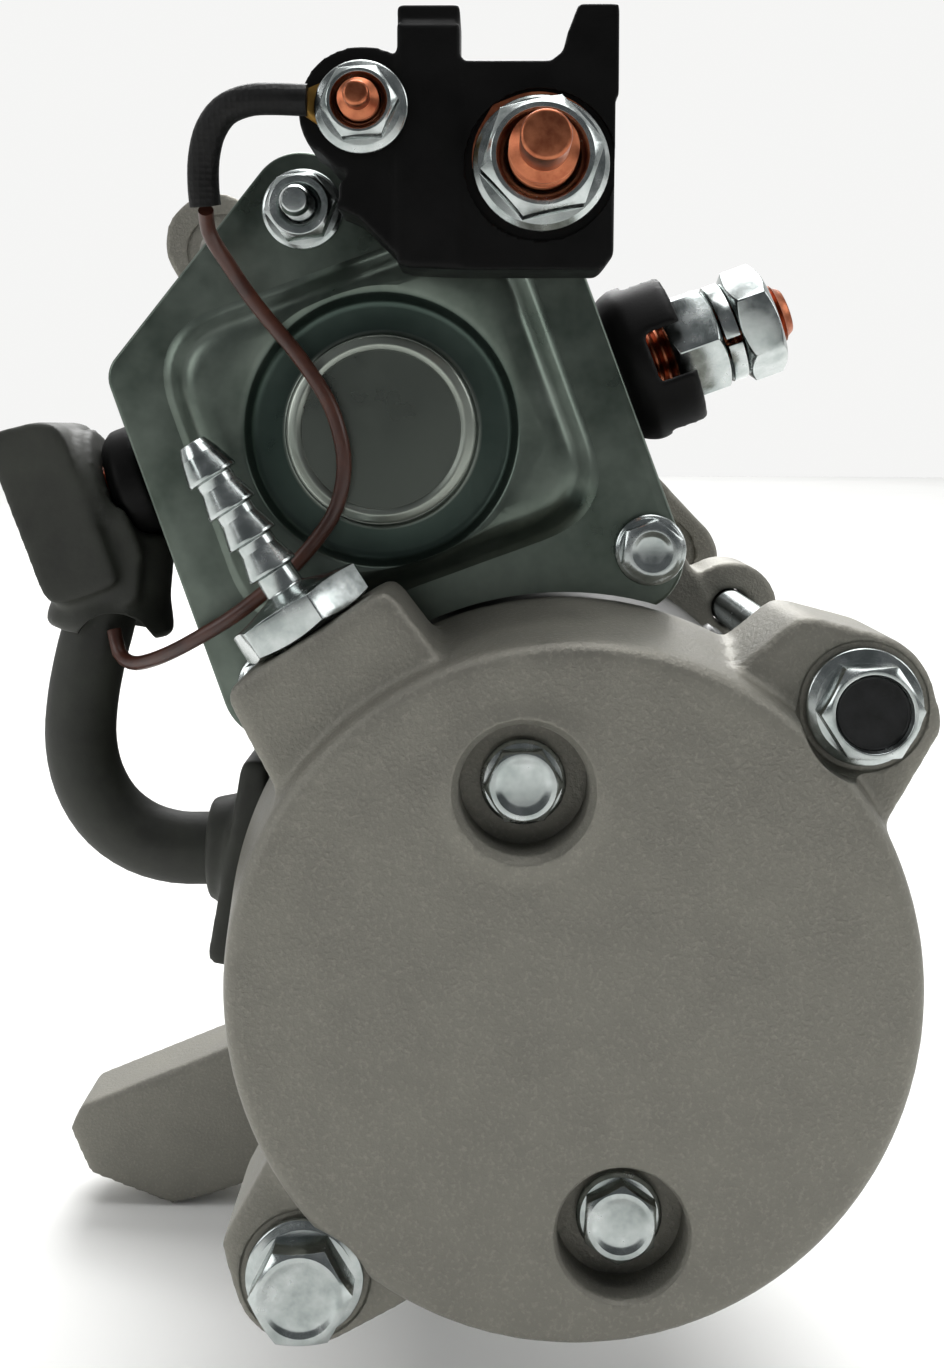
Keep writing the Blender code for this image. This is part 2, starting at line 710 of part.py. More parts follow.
def solenoid():
    lathe("solenoid_can", [
        (CAN_RADIUS, CAN_REAR + GAP), (CAN_RADIUS, YOKE_FRONT - GAP), (5.8, YOKE_FRONT - GAP),
        (5.8, -78.7), (11.5, -78.7), (11.5, -67), (31, -67), (31, CAN_REAR + GAP),
    ], PAINTED)
    ring("solenoid_coil", 30.6, 12.3, -138, -79.2, COPPER)
    lathe("plunger", [
        (0, -167.5), (3.8, -167.5), (3.8, -144), (11.3, -142), (11.3, -92), (9.8, -92),
        (9.8, -104), (4.5, -104), (4.5, -50.3), (0, -50.3),
    ], STEEL, steps=20)
    ring("contact_disc", 17, 4.1, -161.5, -158.5, COPPER, steps=24)
    coil_spring("plunger_spring", PINION_AXIS, 7.6, 0.8, -103.7, -79.0, 6)
    coil_spring("pinion_return_spring", PINION_AXIS, 11.4, 0.8, -45.7, -24.3, 4.5)


def contact_housing():
    body = plate("contact_housing", solenoid_outline(1.2), COVER_FRONT + GAP, CAN_REAR, PLASTIC, LEANING)
    boss_right = side_boss(1, BATTERY_V, 49, 13.5)
    boss_left = side_boss(-1, MOTOR_V, 47, 10)
    join(body, boss_right, boss_left)
    cut(body, motor_clearance(-180, -130))
    cut(body, rod("contact_room", 26.5, -180, -143, PLASTIC, steps=24))
    cut(body, rod("plunger_hole", 12.4, -150, -130, PLASTIC, steps=16))
    for side, v in ((1, BATTERY_V), (-1, MOTOR_V)):
        frame = terminal_frame(side, v)
        bore = turned("terminal_bore", [(0, 60), (5.6, 60), (5.6, 15), (0, 15)], PLASTIC, frame, 12)
        cut(body, bore)
    for u, v in (*CORNER_SCREWS, (0, APEX - 1)):
        cut(body, rod("screw_hole", 2.9, -180, -145, PLASTIC, leaning(u, v), 10))
    return body


def terminal_frame(side, v):
    """Local z points out along a side terminal, from the leaning frame's own upright."""
    x, z = leaning(0, v)
    direction = Vector((math.cos(TILT) * side, 0, math.sin(TILT) * side))
    return axis_frame((x, TERMINAL_Y, z), direction)


def side_boss(side, v, reach, radius):
    neck = radius - 1.5
    profile = [
        (0, reach), (radius - 2, reach), (radius, reach - 2), (radius, reach - 6),
        (neck, reach - 7), (neck, 30), (0, 30),
    ]
    return turned("side_boss", profile, PLASTIC, terminal_frame(side, v), 16)


def side_terminal(name, side, v, tip):
    """A contact shoe in the housing with its threaded stud out through the wall."""
    frame = LEANING
    left, right = sorted((19.6 * side, 22.6 * side))
    leg = plate(name, rounded_box(left, v - 6, right, v + 6, 0.4, 2), -160, -143.3, COPPER, frame)
    left, right = sorted((9.5 * side, 21.5 * side))
    foot = plate("foot", rounded_box(left, v - 6, right, v + 6, 0.4, 2), -145.1, -143.3, COPPER, frame)
    stud = turned(
        "stud", [(0, tip), (4.0, tip), (5.0, tip - 1.2), (5.0, 21), (0, 21)], COPPER,
        terminal_frame(side, v), 12,
    )
    hole = rod("plunger_room", 12.4, -150, -140, COPPER, steps=16)
    return cut(join(leg, foot, stud), hole)


def terminal_nuts():
    frame = terminal_frame(1, BATTERY_V)
    for name, low, high, turn in (("inner", 49.3, 58.2, 5), ("outer", 61.3, 69.6, 35)):
        nut = turned(
            f"battery_nut_{name}",
            [(5.3, high), (8.0, high), (9.8, high - 1), (9.8, low + 1), (8.0, low), (5.3, low)],
            ZINC, frame, 14,
        )
        outside = prism("outside", circle((0, 0), 12, 12), low - 1, high + 1, ZINC, frame,
                        holes=[hexagon(17, turn)])
        cut(nut, outside)
    side_terminal("battery_terminal", 1, BATTERY_V, 71.0)
    side_terminal("motor_terminal", -1, MOTOR_V, 58)


def solenoid_cover():
    cover = plate("solenoid_cover", solenoid_outline(), COVER_REAR, COVER_FRONT, PLATED, LEANING)
    plateau = plate(
        "plateau", rounded_box(-31.5, -26, 31.5, 28, 13, 5), PLATEAU_REAR, -171, PLATED, LEANING
    )
    join(cover, plateau)
    recess = ring("recess", 21.4, 14.6, -190, PLATEAU_REAR + 3.2, PLATED, steps=24)
    pocket = rod("pocket", 11, PLATEAU_REAR + 2, -160, PLATED, steps=16)
    cut(cover, recess, pocket, motor_clearance(-190, -160))
    for u, v in (*CORNER_SCREWS, (0, APEX - 1)):
        cut(cover, rod("screw_hole", 3.3, -185, -160, PLATED, leaning(u, v), 10))
    for (u, v), side in zip(CORNER_SCREWS, ("right", "left")):
        frame = rear_frame(leaning(u, v))
        hex_bolt(f"cover_bolt_{side}", frame, -COVER_REAR + GAP, 9, 5.8, 5, 2.5, 20)
    apex = leaning(0, APEX - 1)
    rod("cover_stud", 2.5, -185, -147, ZINC, apex, 16)
    flange_nut("cover_nut", rear_frame(apex), -COVER_REAR + GAP, 10, 6.6, 6.5, 2.8)


# ---------------------------------------------------------------- terminal block


def terminal_block():
    front = PLATEAU_REAR - GAP
    body = plate("terminal_block", [(13, 23.9), (34, 23.9), (35.8, 26), (36.2, 55.3), (3.4, 55.3),
                                    (3.4, 52), (-4, 38), (-8, 34), (3.6, 29)], BLOCK_REAR, front, PLASTIC)
    left_prong = plate("prong", rounded_box(3.4, 40, 12.8, 63.8, 0.8, 3), BLOCK_REAR, front, PLASTIC)
    right_prong = plate(
        "prong", [(29.6, 50), (36.6, 50), (36.7, 63.8), (30.6, 63.8), (28.8, 60), (28.4, 56.6), (26, 55)],
        BLOCK_REAR, front, PLASTIC,
    )
    seat = lathe(
        "signal_seat", [(0, BLOCK_REAR), (9.6, BLOCK_REAR), (9.6, front), (0, front)], PLASTIC,
        SIGNAL_STUD, 20,
    )
    shelf = plate("shelf", rounded_box(3.4, 47.2, 35.8, 55.3, 1, 3), front - 1, -146, PLASTIC)
    join(body, left_prong, right_prong, seat, shelf)
    cut(body, rod("power_hole", 5.4, -200, -183, PLASTIC, POWER_STUD))
    cut(body, rod("signal_hole", 3.4, -200, -183, PLASTIC, SIGNAL_STUD))
    cut(body, rod("power_dish", 11.4, -200, BLOCK_REAR + 0.8, PLASTIC, POWER_STUD, 20))
    apex = leaning(0, APEX - 1)
    cut(body, rod("nut_room", 7.6, -200, -170, PLASTIC, apex, 16))
    power = [
        (0, -219), (3.3, -219), (3.6, -218.6), (3.6, -211), (5, -209), (5, -193.4), (10.8, -193.4),
        (10.8, -192.5), (5, -192.5), (5, -183.4), (0, -183.4),
    ]
    lathe("power_stud", power, COPPER, POWER_STUD, 16)
    signal = [(0, -206), (1.7, -206), (1.9, -205.7), (1.9, -203), (3, -202), (3, -183.4), (0, -183.4)]
    lathe("signal_stud", signal, COPPER, SIGNAL_STUD, 12)
    flange_nut("power_nut", rear_frame(POWER_STUD), 193.7, 16, 10.2, 9.5, 5.3)
    flange_nut("signal_nut", rear_frame(SIGNAL_STUD), 194.6, 10, 7.0, 6.0, 3.3)


RELAY_ROUTE = (
    (-26.0, -188.0, 33.4), (-26.0, -184.5, 30.2), (-23.4, -182.0, 25.6), (-20.4, -180.8, 21.0),
    (-17.2, -180.2, 16.9), (-13.6, -180.0, 12.6), (-10.4, -180.0, 8.2), (-8.0, -180.0, 4.2),
    (-6.5, -180.0, 0.0), (-5.7, -179.9, -4.2), (-5.9, -179.7, -8.6), (-7.4, -179.5, -13.4),
    (-10.4, -179.5, -17.8), (-14.2, -179.4, -22.0), (-18.7, -179.2, -26.0), (-23.4, -178.8, -29.6),
    (-28.6, -177.2, -32.8), (-33.6, -174.0, -35.6), (-38.0, -170.0, -37.6), (-41.8, -166.0, -38.6),
    (-44.6, -163.0, -37.4), (-45.8, -161.8, -33.6),
)
RELAY_DIAMETER = 2.4


def signal_lead():
    """Ring terminal, black sleeve and the thin brown wire that runs into the boot."""
    frame = UPRIGHT
    tag = plate(
        "ring_terminal", hull(circle(SIGNAL_STUD, 5.8, 16) + [(-11, 50.2), (-11, 47.2)]),
        -194.3, -193.3, COPPER, frame,
    )
    barrel = tube("barrel", [(-10.2, -195.1, 48.8), (-15.2, -195.0, 49.0)], 1.7, COPPER, 2)
    join(tag, barrel)
    cut(tag, rod("tag_hole", 3.4, -200, -190, COPPER, SIGNAL_STUD, 12))
    bend = [(-15.6, -195.0, 49.0), (-19.0, -194.4, 48.8), (-22.4, -193.0, 47.6), (-24.8, -191.4, 44.8),
            (-26.0, -189.8, 41.0), (-26.2, -189.0, 37.0), (-26.0, -188.4, 34.0)]
    tube("wire_sleeve", smooth_route(bend, 3.2), 2.4, SLEEVE, 2)
    tube("relay_wire", smooth_route(RELAY_ROUTE, 4.0), RELAY_DIAMETER / 2, BROWN, 2)


LEAD_ROUTE = (
    (-48.3, -155.0, -22.0), (-48.6, -155.0, -26.0), (-49.5, -155.2, -32.0), (-51.2, -155.6, -39.0),
    (-52.4, -156.0, -46.0), (-52.6, -156.6, -53.0), (-51.0, -157.2, -59.6), (-47.4, -157.8, -65.2),
    (-42.2, -158.2, -69.0), (-36.2, -158.4, -70.8), (-30.0, -158.4, -71.0), (-19.8, -158.4, -71.0),
)
LEAD_DIAMETER = 12.0


def motor_lead():
    tube("motor_lead", smooth_route(LEAD_ROUTE, 6.0), LEAD_DIAMETER / 2, RUBBER, 2)
    grommet = plate(
        "lead_grommet", rounded_box(-56.5, -12.6, -46, 12.6, 1.5, 3), -168.6, -148.6, RUBBER, grommet_frame()
    )
    lip = plate("lip", rounded_box(-56.5, -17, -51.6, 17, 1.5, 3), -168.6, -145, RUBBER, grommet_frame())
    join(grommet, lip)
    cut(grommet, tube("lead_hole", [(-60, -158.4, -71), (-19.0, -158.4, -71)], LEAD_DIAMETER / 2 + 0.4, RUBBER, 2))


def terminal_boot():
    """A soft box over the motor terminal, with a flared spout for the lead, open below."""
    y_rear, y_front = -167.5, -143
    box = plate("terminal_boot", rounded_box(-63, -9, -49.6, 22, 2.5, 3), y_rear, y_front, RUBBER, LEANING)
    spout_frame = axis_frame((*boot_mouth_xyz(),), boot_down())
    spout = turned(
        "spout", [(0, 2), (10.6, 2), (10.9, 0.6), (9.6, -5), (9.0, -16), (0, -16)], RUBBER, spout_frame, 16
    )
    join(box, spout)
    room = plate("boot_room", rounded_box(-61, -7, -51.4, 20, 1.5, 3), y_rear + 2, y_front - 2, RUBBER, LEANING)
    throat = turned(
        "throat", [(0, 6), (9.4, 6), (9.0, 0), (7.6, -6), (7.2, -14), (0, -14)], RUBBER, spout_frame, 16
    )
    boss_room = turned("boss_room", [(0, 47.4), (10.5, 47.4), (10.5, 20), (0, 20)], RUBBER,
                       terminal_frame(-1, MOTOR_V), 12)
    hole = turned("stud_hole", [(0, 56), (6.2, 56), (6.2, 40), (0, 40)], RUBBER,
                  terminal_frame(-1, MOTOR_V), 12)
    return cut(box, room, throat, boss_room, hole)


def boot_mouth_xyz():
    return (-47.8, -155.2, -32.6)


def boot_down():
    return Vector((-0.12, 0, -0.99))


# ---------------------------------------------------------------- the whole motor


def main():
    rear_end_frame()
    vent_hose_barb()
    yoke()
    gear_housing()
    drive_housing()
    armature()
    bearings()
    field()
    brushes()
    fasteners()
    idler()
    clutch()
    drive_pinion()
    solenoid()
    contact_housing()
    terminal_nuts()
    solenoid_cover()
    terminal_block()
    signal_lead()
    motor_lead()
    terminal_boot()


main()
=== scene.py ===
"""The looks of an offset gear-reduction starter motor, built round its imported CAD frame.

Sizes are in millimetres and are turned to metres where a mesh is made. +Y runs from
the rear end frame to the pinion, +Z is up and +X is to the right seen from behind.
"""

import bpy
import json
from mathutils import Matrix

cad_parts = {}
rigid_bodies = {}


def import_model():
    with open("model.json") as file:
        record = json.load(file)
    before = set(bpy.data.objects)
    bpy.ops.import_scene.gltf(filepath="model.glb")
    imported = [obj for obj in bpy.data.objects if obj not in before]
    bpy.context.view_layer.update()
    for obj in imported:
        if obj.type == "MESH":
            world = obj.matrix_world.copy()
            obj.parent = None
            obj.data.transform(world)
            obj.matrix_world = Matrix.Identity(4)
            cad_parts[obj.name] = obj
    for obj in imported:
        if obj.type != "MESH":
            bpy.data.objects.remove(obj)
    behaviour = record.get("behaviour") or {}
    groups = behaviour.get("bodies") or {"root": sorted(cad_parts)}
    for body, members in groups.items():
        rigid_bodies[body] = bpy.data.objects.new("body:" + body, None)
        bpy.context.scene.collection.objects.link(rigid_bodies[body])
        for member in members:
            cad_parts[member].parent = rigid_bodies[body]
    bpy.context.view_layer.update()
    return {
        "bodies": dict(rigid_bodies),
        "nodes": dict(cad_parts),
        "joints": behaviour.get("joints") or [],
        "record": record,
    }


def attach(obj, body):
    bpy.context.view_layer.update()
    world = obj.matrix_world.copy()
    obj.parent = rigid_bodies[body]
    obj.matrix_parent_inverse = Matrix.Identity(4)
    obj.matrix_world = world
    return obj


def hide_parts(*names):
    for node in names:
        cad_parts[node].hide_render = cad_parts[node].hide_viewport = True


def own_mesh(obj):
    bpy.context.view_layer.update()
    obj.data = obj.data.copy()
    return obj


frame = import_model()

import json
import logging
import math
from dataclasses import dataclass, field
from enum import Enum

import bpy
from mathutils import Matrix, Vector

MM = 0.001
TILT = math.radians(20)  # lean of the line between the two axes
AXIS_SPREAD = 85.75  # from the pinion's axis to the motor's
IDLER_SPREAD = 56.875  # from the pinion's axis to the idler's
APEX = 38.8  # top of the solenoid's cover, up the lean
FOOT_SHARE = 0.66  # how far out a lobe's or an ear's foot stands, as a share of its bolt's distance
LOG = logging.getLogger("starter_motor")

Point = tuple[float, ...]
Obj = bpy.types.Object


class Body(Enum):
    """The CAD bodies that pieces ride on."""

    HOUSING = "housing"
    ARMATURE = "armature"
    IDLER = "idler"
    CLUTCH = "clutch"
    PINION = "pinion"
    PLUNGER = "plunger"


def leaning(u: float, v: float) -> Point:
    """Turn a point of the leaning frame to the upright one.

    Args:
        u: Distance to the right along the lean.
        v: Distance up along the lean.

    Returns:
        The upright (x, z).
    """
    c, s = math.cos(TILT), math.sin(TILT)
    return (u * c - v * s, u * s + v * c)


PINION_AXIS: Point = (0.0, 0.0)
MOTOR_AXIS = leaning(0, -AXIS_SPREAD)
IDLER_AXIS = leaning(0, -IDLER_SPREAD)


def rear_frame(at: Point = PINION_AXIS, lean: float = 0.0) -> Matrix:
    """Give a drawing plane seen from behind.

    Args:
        at: Upright (x, z) of its centre.
        lean: Turn anticlockwise, in radians.

    Returns:
        A matrix whose local x is right, y is up and z points back along -Y.
    """
    place = Matrix.Translation(Vector((at[0], 0, at[1])) * MM)
    return place @ Matrix.Rotation(math.pi / 2, 4, "X") @ Matrix.Rotation(lean, 4, "Z")


def axis_frame(origin: Point, direction: Point) -> Matrix:
    """Give a frame whose local z runs from a point along a direction.

    Args:
        origin: Where it starts, in millimetres.
        direction: Where local z points.

    Returns:
        The frame's matrix.
    """
    turn = Vector(direction).to_track_quat("Z", "Y").to_matrix().to_4x4()
    return Matrix.Translation(Vector(origin) * MM) @ turn


# ------------------------------------------------------------------ outlines


def arc(centre: Point, radius: float, start: float, end: float, count: int) -> list[Point]:
    """Give points on an arc, with both ends in it. Angles are in degrees."""
    step = math.radians(end - start) / (count - 1)
    turn = math.radians(start)
    return [
        (centre[0] + radius * math.cos(turn + step * i), centre[1] + radius * math.sin(turn + step * i))
        for i in range(count)
    ]


def circle(centre: Point, radius: float, count: int = 48) -> list[Point]:
    """Give the points of a circle, anticlockwise."""
    return arc(centre, radius, 0, 360, count + 1)[:-1]


def hexagon(flats: float, turn: float = 0.0) -> list[Point]:
    """Give the corners of a hexagon of a width across flats."""
    return arc((0, 0), flats / math.sqrt(3), turn, turn + 360, 7)[:-1]


def hull(points: list[Point]) -> list[Point]:
    """Give the convex outline round a set of points, anticlockwise.

    Args:
        points: The points to enclose.

    Returns:
        The corners of the outline.
    """
    ordered = sorted(set(points))
    sides: list[list[Point]] = []
    for run in (ordered, ordered[::-1]):
        kept: list[Point] = []
        for p in run:
            while len(kept) > 1 and cross(kept[-2], kept[-1], p) <= 0:
                kept.pop()
            kept.append(p)
        sides.append(kept[:-1])
    return sides[0] + sides[1]


def cross(a: Point, b: Point, c: Point) -> float:
    """Say which way a path turns at b: positive is to the left."""
    return (b[0] - a[0]) * (c[1] - a[1]) - (b[1] - a[1]) * (c[0] - a[0])


def fillet(corners: list[Point], steps: int = 5, closed: bool = True) -> list[Point]:
    """Round the corners of an outline or a profile.

    Args:
        corners: Points (x, y) or (x, y, radius); a plain point stays sharp.
        steps: Points on each round.
        closed: Whether the last point joins the first.

    Returns:
        The points with each rounded corner as a curve.
    """
    made: list[Point] = []
    last = len(corners) - 1
    for i, corner in enumerate(corners):
        radius = corner[2] if len(corner) > 2 else 0.0
        here = Vector(corner[:2])
        if radius <= 0 or (not closed and i in (0, last)):
            made.append((here.x, here.y))
            continue
        to_back = Vector(corners[i - 1][:2]) - here
        to_next = Vector(corners[(i + 1) % len(corners)][:2]) - here
        half = to_back.angle(to_next) / 2
        reach = min(radius / math.tan(half), to_back.length * 0.49, to_next.length * 0.49)
        start = here + to_back.normalized() * reach
        end = here + to_next.normalized() * reach
        for k in range(steps):
            t = k / (steps - 1)
            p = start * (1 - t) ** 2 + here * (2 * t * (1 - t)) + end * t**2
            made.append((p.x, p.y))
    return made


def gear_outline(teeth: int, module: float, flank_steps: int = 5, shift: float = 0.0) -> list[Point]:
    """Give an involute gear at 20 degrees of pressure angle, with a tooth on +x.

    Args:
        teeth: Number of teeth.
        module: Pitch diameter over the number of teeth.
        flank_steps: Points on each flank.
        shift: Profile shift, as a share of the module.

    Returns:
        The outline, anticlockwise.
    """
    pitch = teeth * module / 2
    base = pitch * math.cos(math.radians(20))
    tip = pitch + module * (1.0 + shift)
    root = pitch - module * (1.25 - shift)
    half_tooth = (math.pi * module / 2 - 0.14) / (2 * pitch)
    half_tooth += shift * math.tan(math.radians(20)) * module / pitch
    start = max(base, root)

    def involute(radius: float) -> float:
        """Give the involute's angle at a radius."""
        ratio = max(radius / base, 1.0)
        return math.sqrt(ratio * ratio - 1) - math.acos(1 / ratio)

    radii = [start + (tip - start) * i / (flank_steps - 1) for i in range(flank_steps)]
    at_pitch = half_tooth + involute(pitch)
    flank = [(r, at_pitch - involute(r)) for r in radii]
    if root < start - 1e-6:
        flank.insert(0, (root, flank[0][1] + 0.02))
    points: list[Point] = []
    for tooth in range(teeth):
        middle = 2 * math.pi * tooth / teeth
        sides = [(r, -a) for r, a in flank] + [(r, a) for r, a in reversed(flank)]
        points += [(r * math.cos(middle + a), r * math.sin(middle + a)) for r, a in sides]
    return points


# ------------------------------------------------------------------ finishes


def linear(hex_colour: str) -> Point:
    """Turn an sRGB hex colour to linear red, green, blue and alpha."""
    values = [int(hex_colour[i : i + 2], 16) / 255 for i in (1, 3, 5)]
    return (*(v / 12.92 if v <= 0.04045 else ((v + 0.055) / 1.055) ** 2.4 for v in values), 1.0)


def add_node(tree: bpy.types.NodeTree, kind: str, inputs: dict | None = None, **settings: object):
    """Add a node with its settings, values and links.

    Args:
        tree: The material's node tree.
        kind: The node's type name.
        inputs: Socket name or number, to a value or to the output socket that feeds it.
        settings: Attributes of the node.

    Returns:
        The new node.
    """
    made = tree.nodes.new(kind)
    for name, value in settings.items():
        setattr(made, name, value)
    for socket, value in (inputs or {}).items():
        if isinstance(value, bpy.types.NodeSocket):
            tree.links.new(value, made.inputs[socket])
        else:
            made.inputs[socket].default_value = value
    return made


@dataclass(frozen=True)
class Finish:
    """A surface with patches of two colours, a fine grain and worn roughness.

    patch_mm is the size of the colour patches and grain_mm that of the relief,
    whose height is relief_mm. slot, the record's material slot, is not used.
    """

    name: str
    slot: str
    light: str
    dark: str
    metallic: float
    roughness: tuple[float, float]
    patch_mm: float = 12.0
    grain_mm: float = 0.8
    relief_mm: float = 0.05
    speckle: float = 0.0
    speckle_colour: str = "#ffffff"
    coat: float = 0.0
    specular: float = 0.5

    def relief(self, tree: bpy.types.NodeTree, place: bpy.types.NodeSocket) -> bpy.types.NodeSocket:
        """Give the height pattern: an even grain unless a finish has its own."""
        grain = add_node(
            tree, "ShaderNodeTexNoise",
            {"Vector": place, "Scale": 1000 / self.grain_mm, "Detail": 3.0, "Roughness": 0.6},
        )
        return grain.outputs[0]

    def tint(self, tree: bpy.types.NodeTree, place: bpy.types.NodeSocket,
             colour: bpy.types.NodeSocket) -> bpy.types.NodeSocket:
        """Change the colour by place: a plain finish leaves it as it is."""
        return colour

    def build(self) -> bpy.types.Material:
        """Make the material, or give the one already made."""
        found = bpy.data.materials.get(self.name)
        if found:
            return found
        made = bpy.data.materials.new(self.name)
        made.use_nodes = True
        tree = made.node_tree
        shader = tree.nodes["Principled BSDF"]
        place = add_node(tree, "ShaderNodeTexCoord").outputs["Object"]
        patches = add_node(
            tree, "ShaderNodeTexNoise",
            {"Vector": place, "Scale": 1000 / self.patch_mm, "Detail": 4.0, "Roughness": 0.62},
        )
        spread = add_node(
            tree, "ShaderNodeMapRange",
            {0: patches.outputs[0], "From Min": 0.32, "From Max": 0.68},
        )
        height = self.relief(tree, place)
        colour = add_node(
            tree, "ShaderNodeMix", {0: spread.outputs[0], 6: linear(self.dark), 7: linear(self.light)},
            data_type="RGBA",
        ).outputs[2]
        if self.speckle > 0:
            dots = add_node(
                tree, "ShaderNodeMapRange",
                {0: height, "From Min": 0.52, "From Max": 0.72, "To Max": self.speckle},
            )
            colour = add_node(
                tree, "ShaderNodeMix", {0: dots.outputs[0], 6: colour, 7: linear(self.speckle_colour)},
                data_type="RGBA",
            ).outputs[2]
        colour = self.tint(tree, place, colour)
        worn = add_node(
            tree, "ShaderNodeMapRange",
            {0: patches.outputs[0], "From Min": 0.3, "From Max": 0.7,
             "To Min": self.roughness[0], "To Max": self.roughness[1]},
        )
        bump = add_node(
            tree, "ShaderNodeBump", {"Height": height, "Strength": 1.0, "Distance": self.relief_mm * MM}
        )
        tree.links.new(colour, shader.inputs["Base Color"])
        tree.links.new(worn.outputs[0], shader.inputs["Roughness"])
        tree.links.new(bump.outputs[0], shader.inputs["Normal"])
        shader.inputs["Metallic"].default_value = self.metallic
        shader.inputs["Coat Weight"].default_value = self.coat
        shader.inputs["Specular IOR Level"].default_value = self.specular
        return made


@dataclass(frozen=True)
class TurnedFinish(Finish):
    """A machined surface with fine rings round an axis along Y."""

    axis: Point = PINION_AXIS
    pitch_mm: float = 0.5

    def relief(self, tree: bpy.types.NodeTree, place: bpy.types.NodeSocket) -> bpy.types.NodeSocket:
        """Give rings round the axis, broken up a little."""
        shifted = add_node(
            tree, "ShaderNodeMapping",
            {"Vector": place, "Location": (-self.axis[0] * MM, 0, -self.axis[1] * MM)},
        )
        rings = add_node(
            tree, "ShaderNodeTexWave",
            {"Vector": shifted.outputs[0], "Scale": 1000 / self.pitch_mm / 20, "Distortion": 0.4,
             "Detail": 1.0},
            wave_type="RINGS", rings_direction="Y",
        )
        return rings.outputs[1]


@dataclass(frozen=True)
class WovenFinish(Finish):
    """A braided sleeve: two crossing sets of threads."""

    thread_mm: float = 0.9

    def relief(self, tree: bpy.types.NodeTree, place: bpy.types.NodeSocket) -> bpy.types.NodeSocket:
        """Give small cells that stand for the crossing threads."""
        cells = add_node(
            tree, "ShaderNodeTexVoronoi",
            {"Vector": place, "Scale": 1000 / self.thread_mm, "Randomness": 0.25},
        )
        return cells.outputs[0]


@dataclass(frozen=True)
class PressedFinish(Finish):
    """A plated pressing with draw marks, with painted shade in its ring-shaped trough, a painted highlight on
    the rim round its button and a darker button.
    """

    # Radius and colour: painted shade in the trough inside 22 mm, a painted highlight on the rim inside 15.7
    # mm, and a darker button inside 13 mm.
    rings: tuple[tuple[float, str], ...] = (
        (22.0, "#35443f"), (15.7, "#a9afa6"), (13.0, "#434944"),
    )

    def relief(self, tree: bpy.types.NodeTree, place: bpy.types.NodeSocket) -> bpy.types.NodeSocket:
        """Give fine draw marks that run up the pressing."""
        stretched = add_node(
            tree, "ShaderNodeMapping",
            {"Vector": place, "Rotation": (0, TILT, 0), "Scale": (1.0, 1.0, 0.12)},
        )
        marks = add_node(
            tree, "ShaderNodeTexNoise",
            {"Vector": stretched.outputs[0], "Scale": 1000 / self.grain_mm, "Detail": 4.0,
             "Roughness": 0.65},
        )
        return marks.outputs[0]

    def tint(self, tree: bpy.types.NodeTree, place: bpy.types.NodeSocket,
             colour: bpy.types.NodeSocket) -> bpy.types.NodeSocket:
        """Paint shade into the trough and a highlight on the rim round the button, and darken the button a
        little.
        """
        flat = add_node(tree, "ShaderNodeVectorMath", {0: place, 1: (1.0, 0.0, 1.0)}, operation="MULTIPLY")
        radius = add_node(tree, "ShaderNodeVectorMath", {0: flat.outputs[0]}, operation="LENGTH")
        for edge, inner in self.rings:
            inside = add_node(
                tree, "ShaderNodeMapRange",
                {0: radius.outputs["Value"], "From Min": (edge - 0.6) * MM, "From Max": (edge + 0.4) * MM,
                 "To Min": 0.8, "To Max": 0.0},
            )
            colour = add_node(
                tree, "ShaderNodeMix", {0: inside.outputs[0], 6: colour, 7: linear(inner)},
                data_type="RGBA",
            ).outputs[2]
        return colour


# Sand-cast aluminium, shot blasted: dull warm grey with a fine even grain that sparkles.
# The grit of 0.3 mm is drawn at 0.6 mm so that it shows.
CAST = Finish(
    "sand_cast_aluminium", "cast_aluminium", "#86847b", "#7b7971", 0.55, (0.46, 0.58),
    patch_mm=9, grain_mm=0.6, relief_mm=0.16, speckle=0.25, speckle_colour="#aeaba0",
)
# Pressed steel with a dull blue-green zinc plating, streaked by handling; its trough and button rim carry
# painted shade and a painted highlight.
COVER_ZINC = PressedFinish(
    "dull_zinc_plated_steel", "zinc_cover", "#707971", "#505a52", 0.85, (0.26, 0.42),
    patch_mm=14, grain_mm=0.7, relief_mm=0.014,
)
# Bright zinc on fasteners: mirror-like, a little blue, with faint cloudy patches.
BRIGHT_ZINC = Finish(
    "bright_zinc_plating", "bright_zinc", "#c8cdcc", "#9ca4a2", 1.0, (0.14, 0.3),
    patch_mm=4, grain_mm=0.8, relief_mm=0.006,
)
# Drawn steel tube under a thin semi-gloss dark grey paint.
PAINTED = Finish(
    "semi_gloss_grey_paint", "painted_steel", "#3a3b39", "#2e2f2e", 0.1, (0.32, 0.45),
    patch_mm=20, grain_mm=1.6, relief_mm=0.03, coat=0.25,
)
# Hardened gear steel, ground and lightly oiled.
GEAR_STEEL = Finish(
    "ground_gear_steel", "machined_steel", "#9b9c9b", "#7c7d7c", 1.0, (0.24, 0.38),
    patch_mm=7, grain_mm=0.5, relief_mm=0.006,
)
TURNED_STEEL = TurnedFinish(
    "turned_steel", "machined_steel", "#a3a4a3", "#868786", 1.0, (0.22, 0.34),
    patch_mm=9, relief_mm=0.012,
)
# Rolled copper stud, handled and slightly darkened.
COPPER = Finish(
    "handled_copper", "copper", "#c27a58", "#94523a", 1.0, (0.28, 0.44),
    patch_mm=3, grain_mm=0.5, relief_mm=0.01,
)
# Glass-filled nylon, moulded: near black with a fine matt skin.
NYLON = Finish(
    "black_glass_filled_nylon", "black_plastic", "#0d0d0d", "#080808", 0.0, (0.42, 0.56),
    patch_mm=8, grain_mm=0.5, relief_mm=0.02, specular=0.12,
)
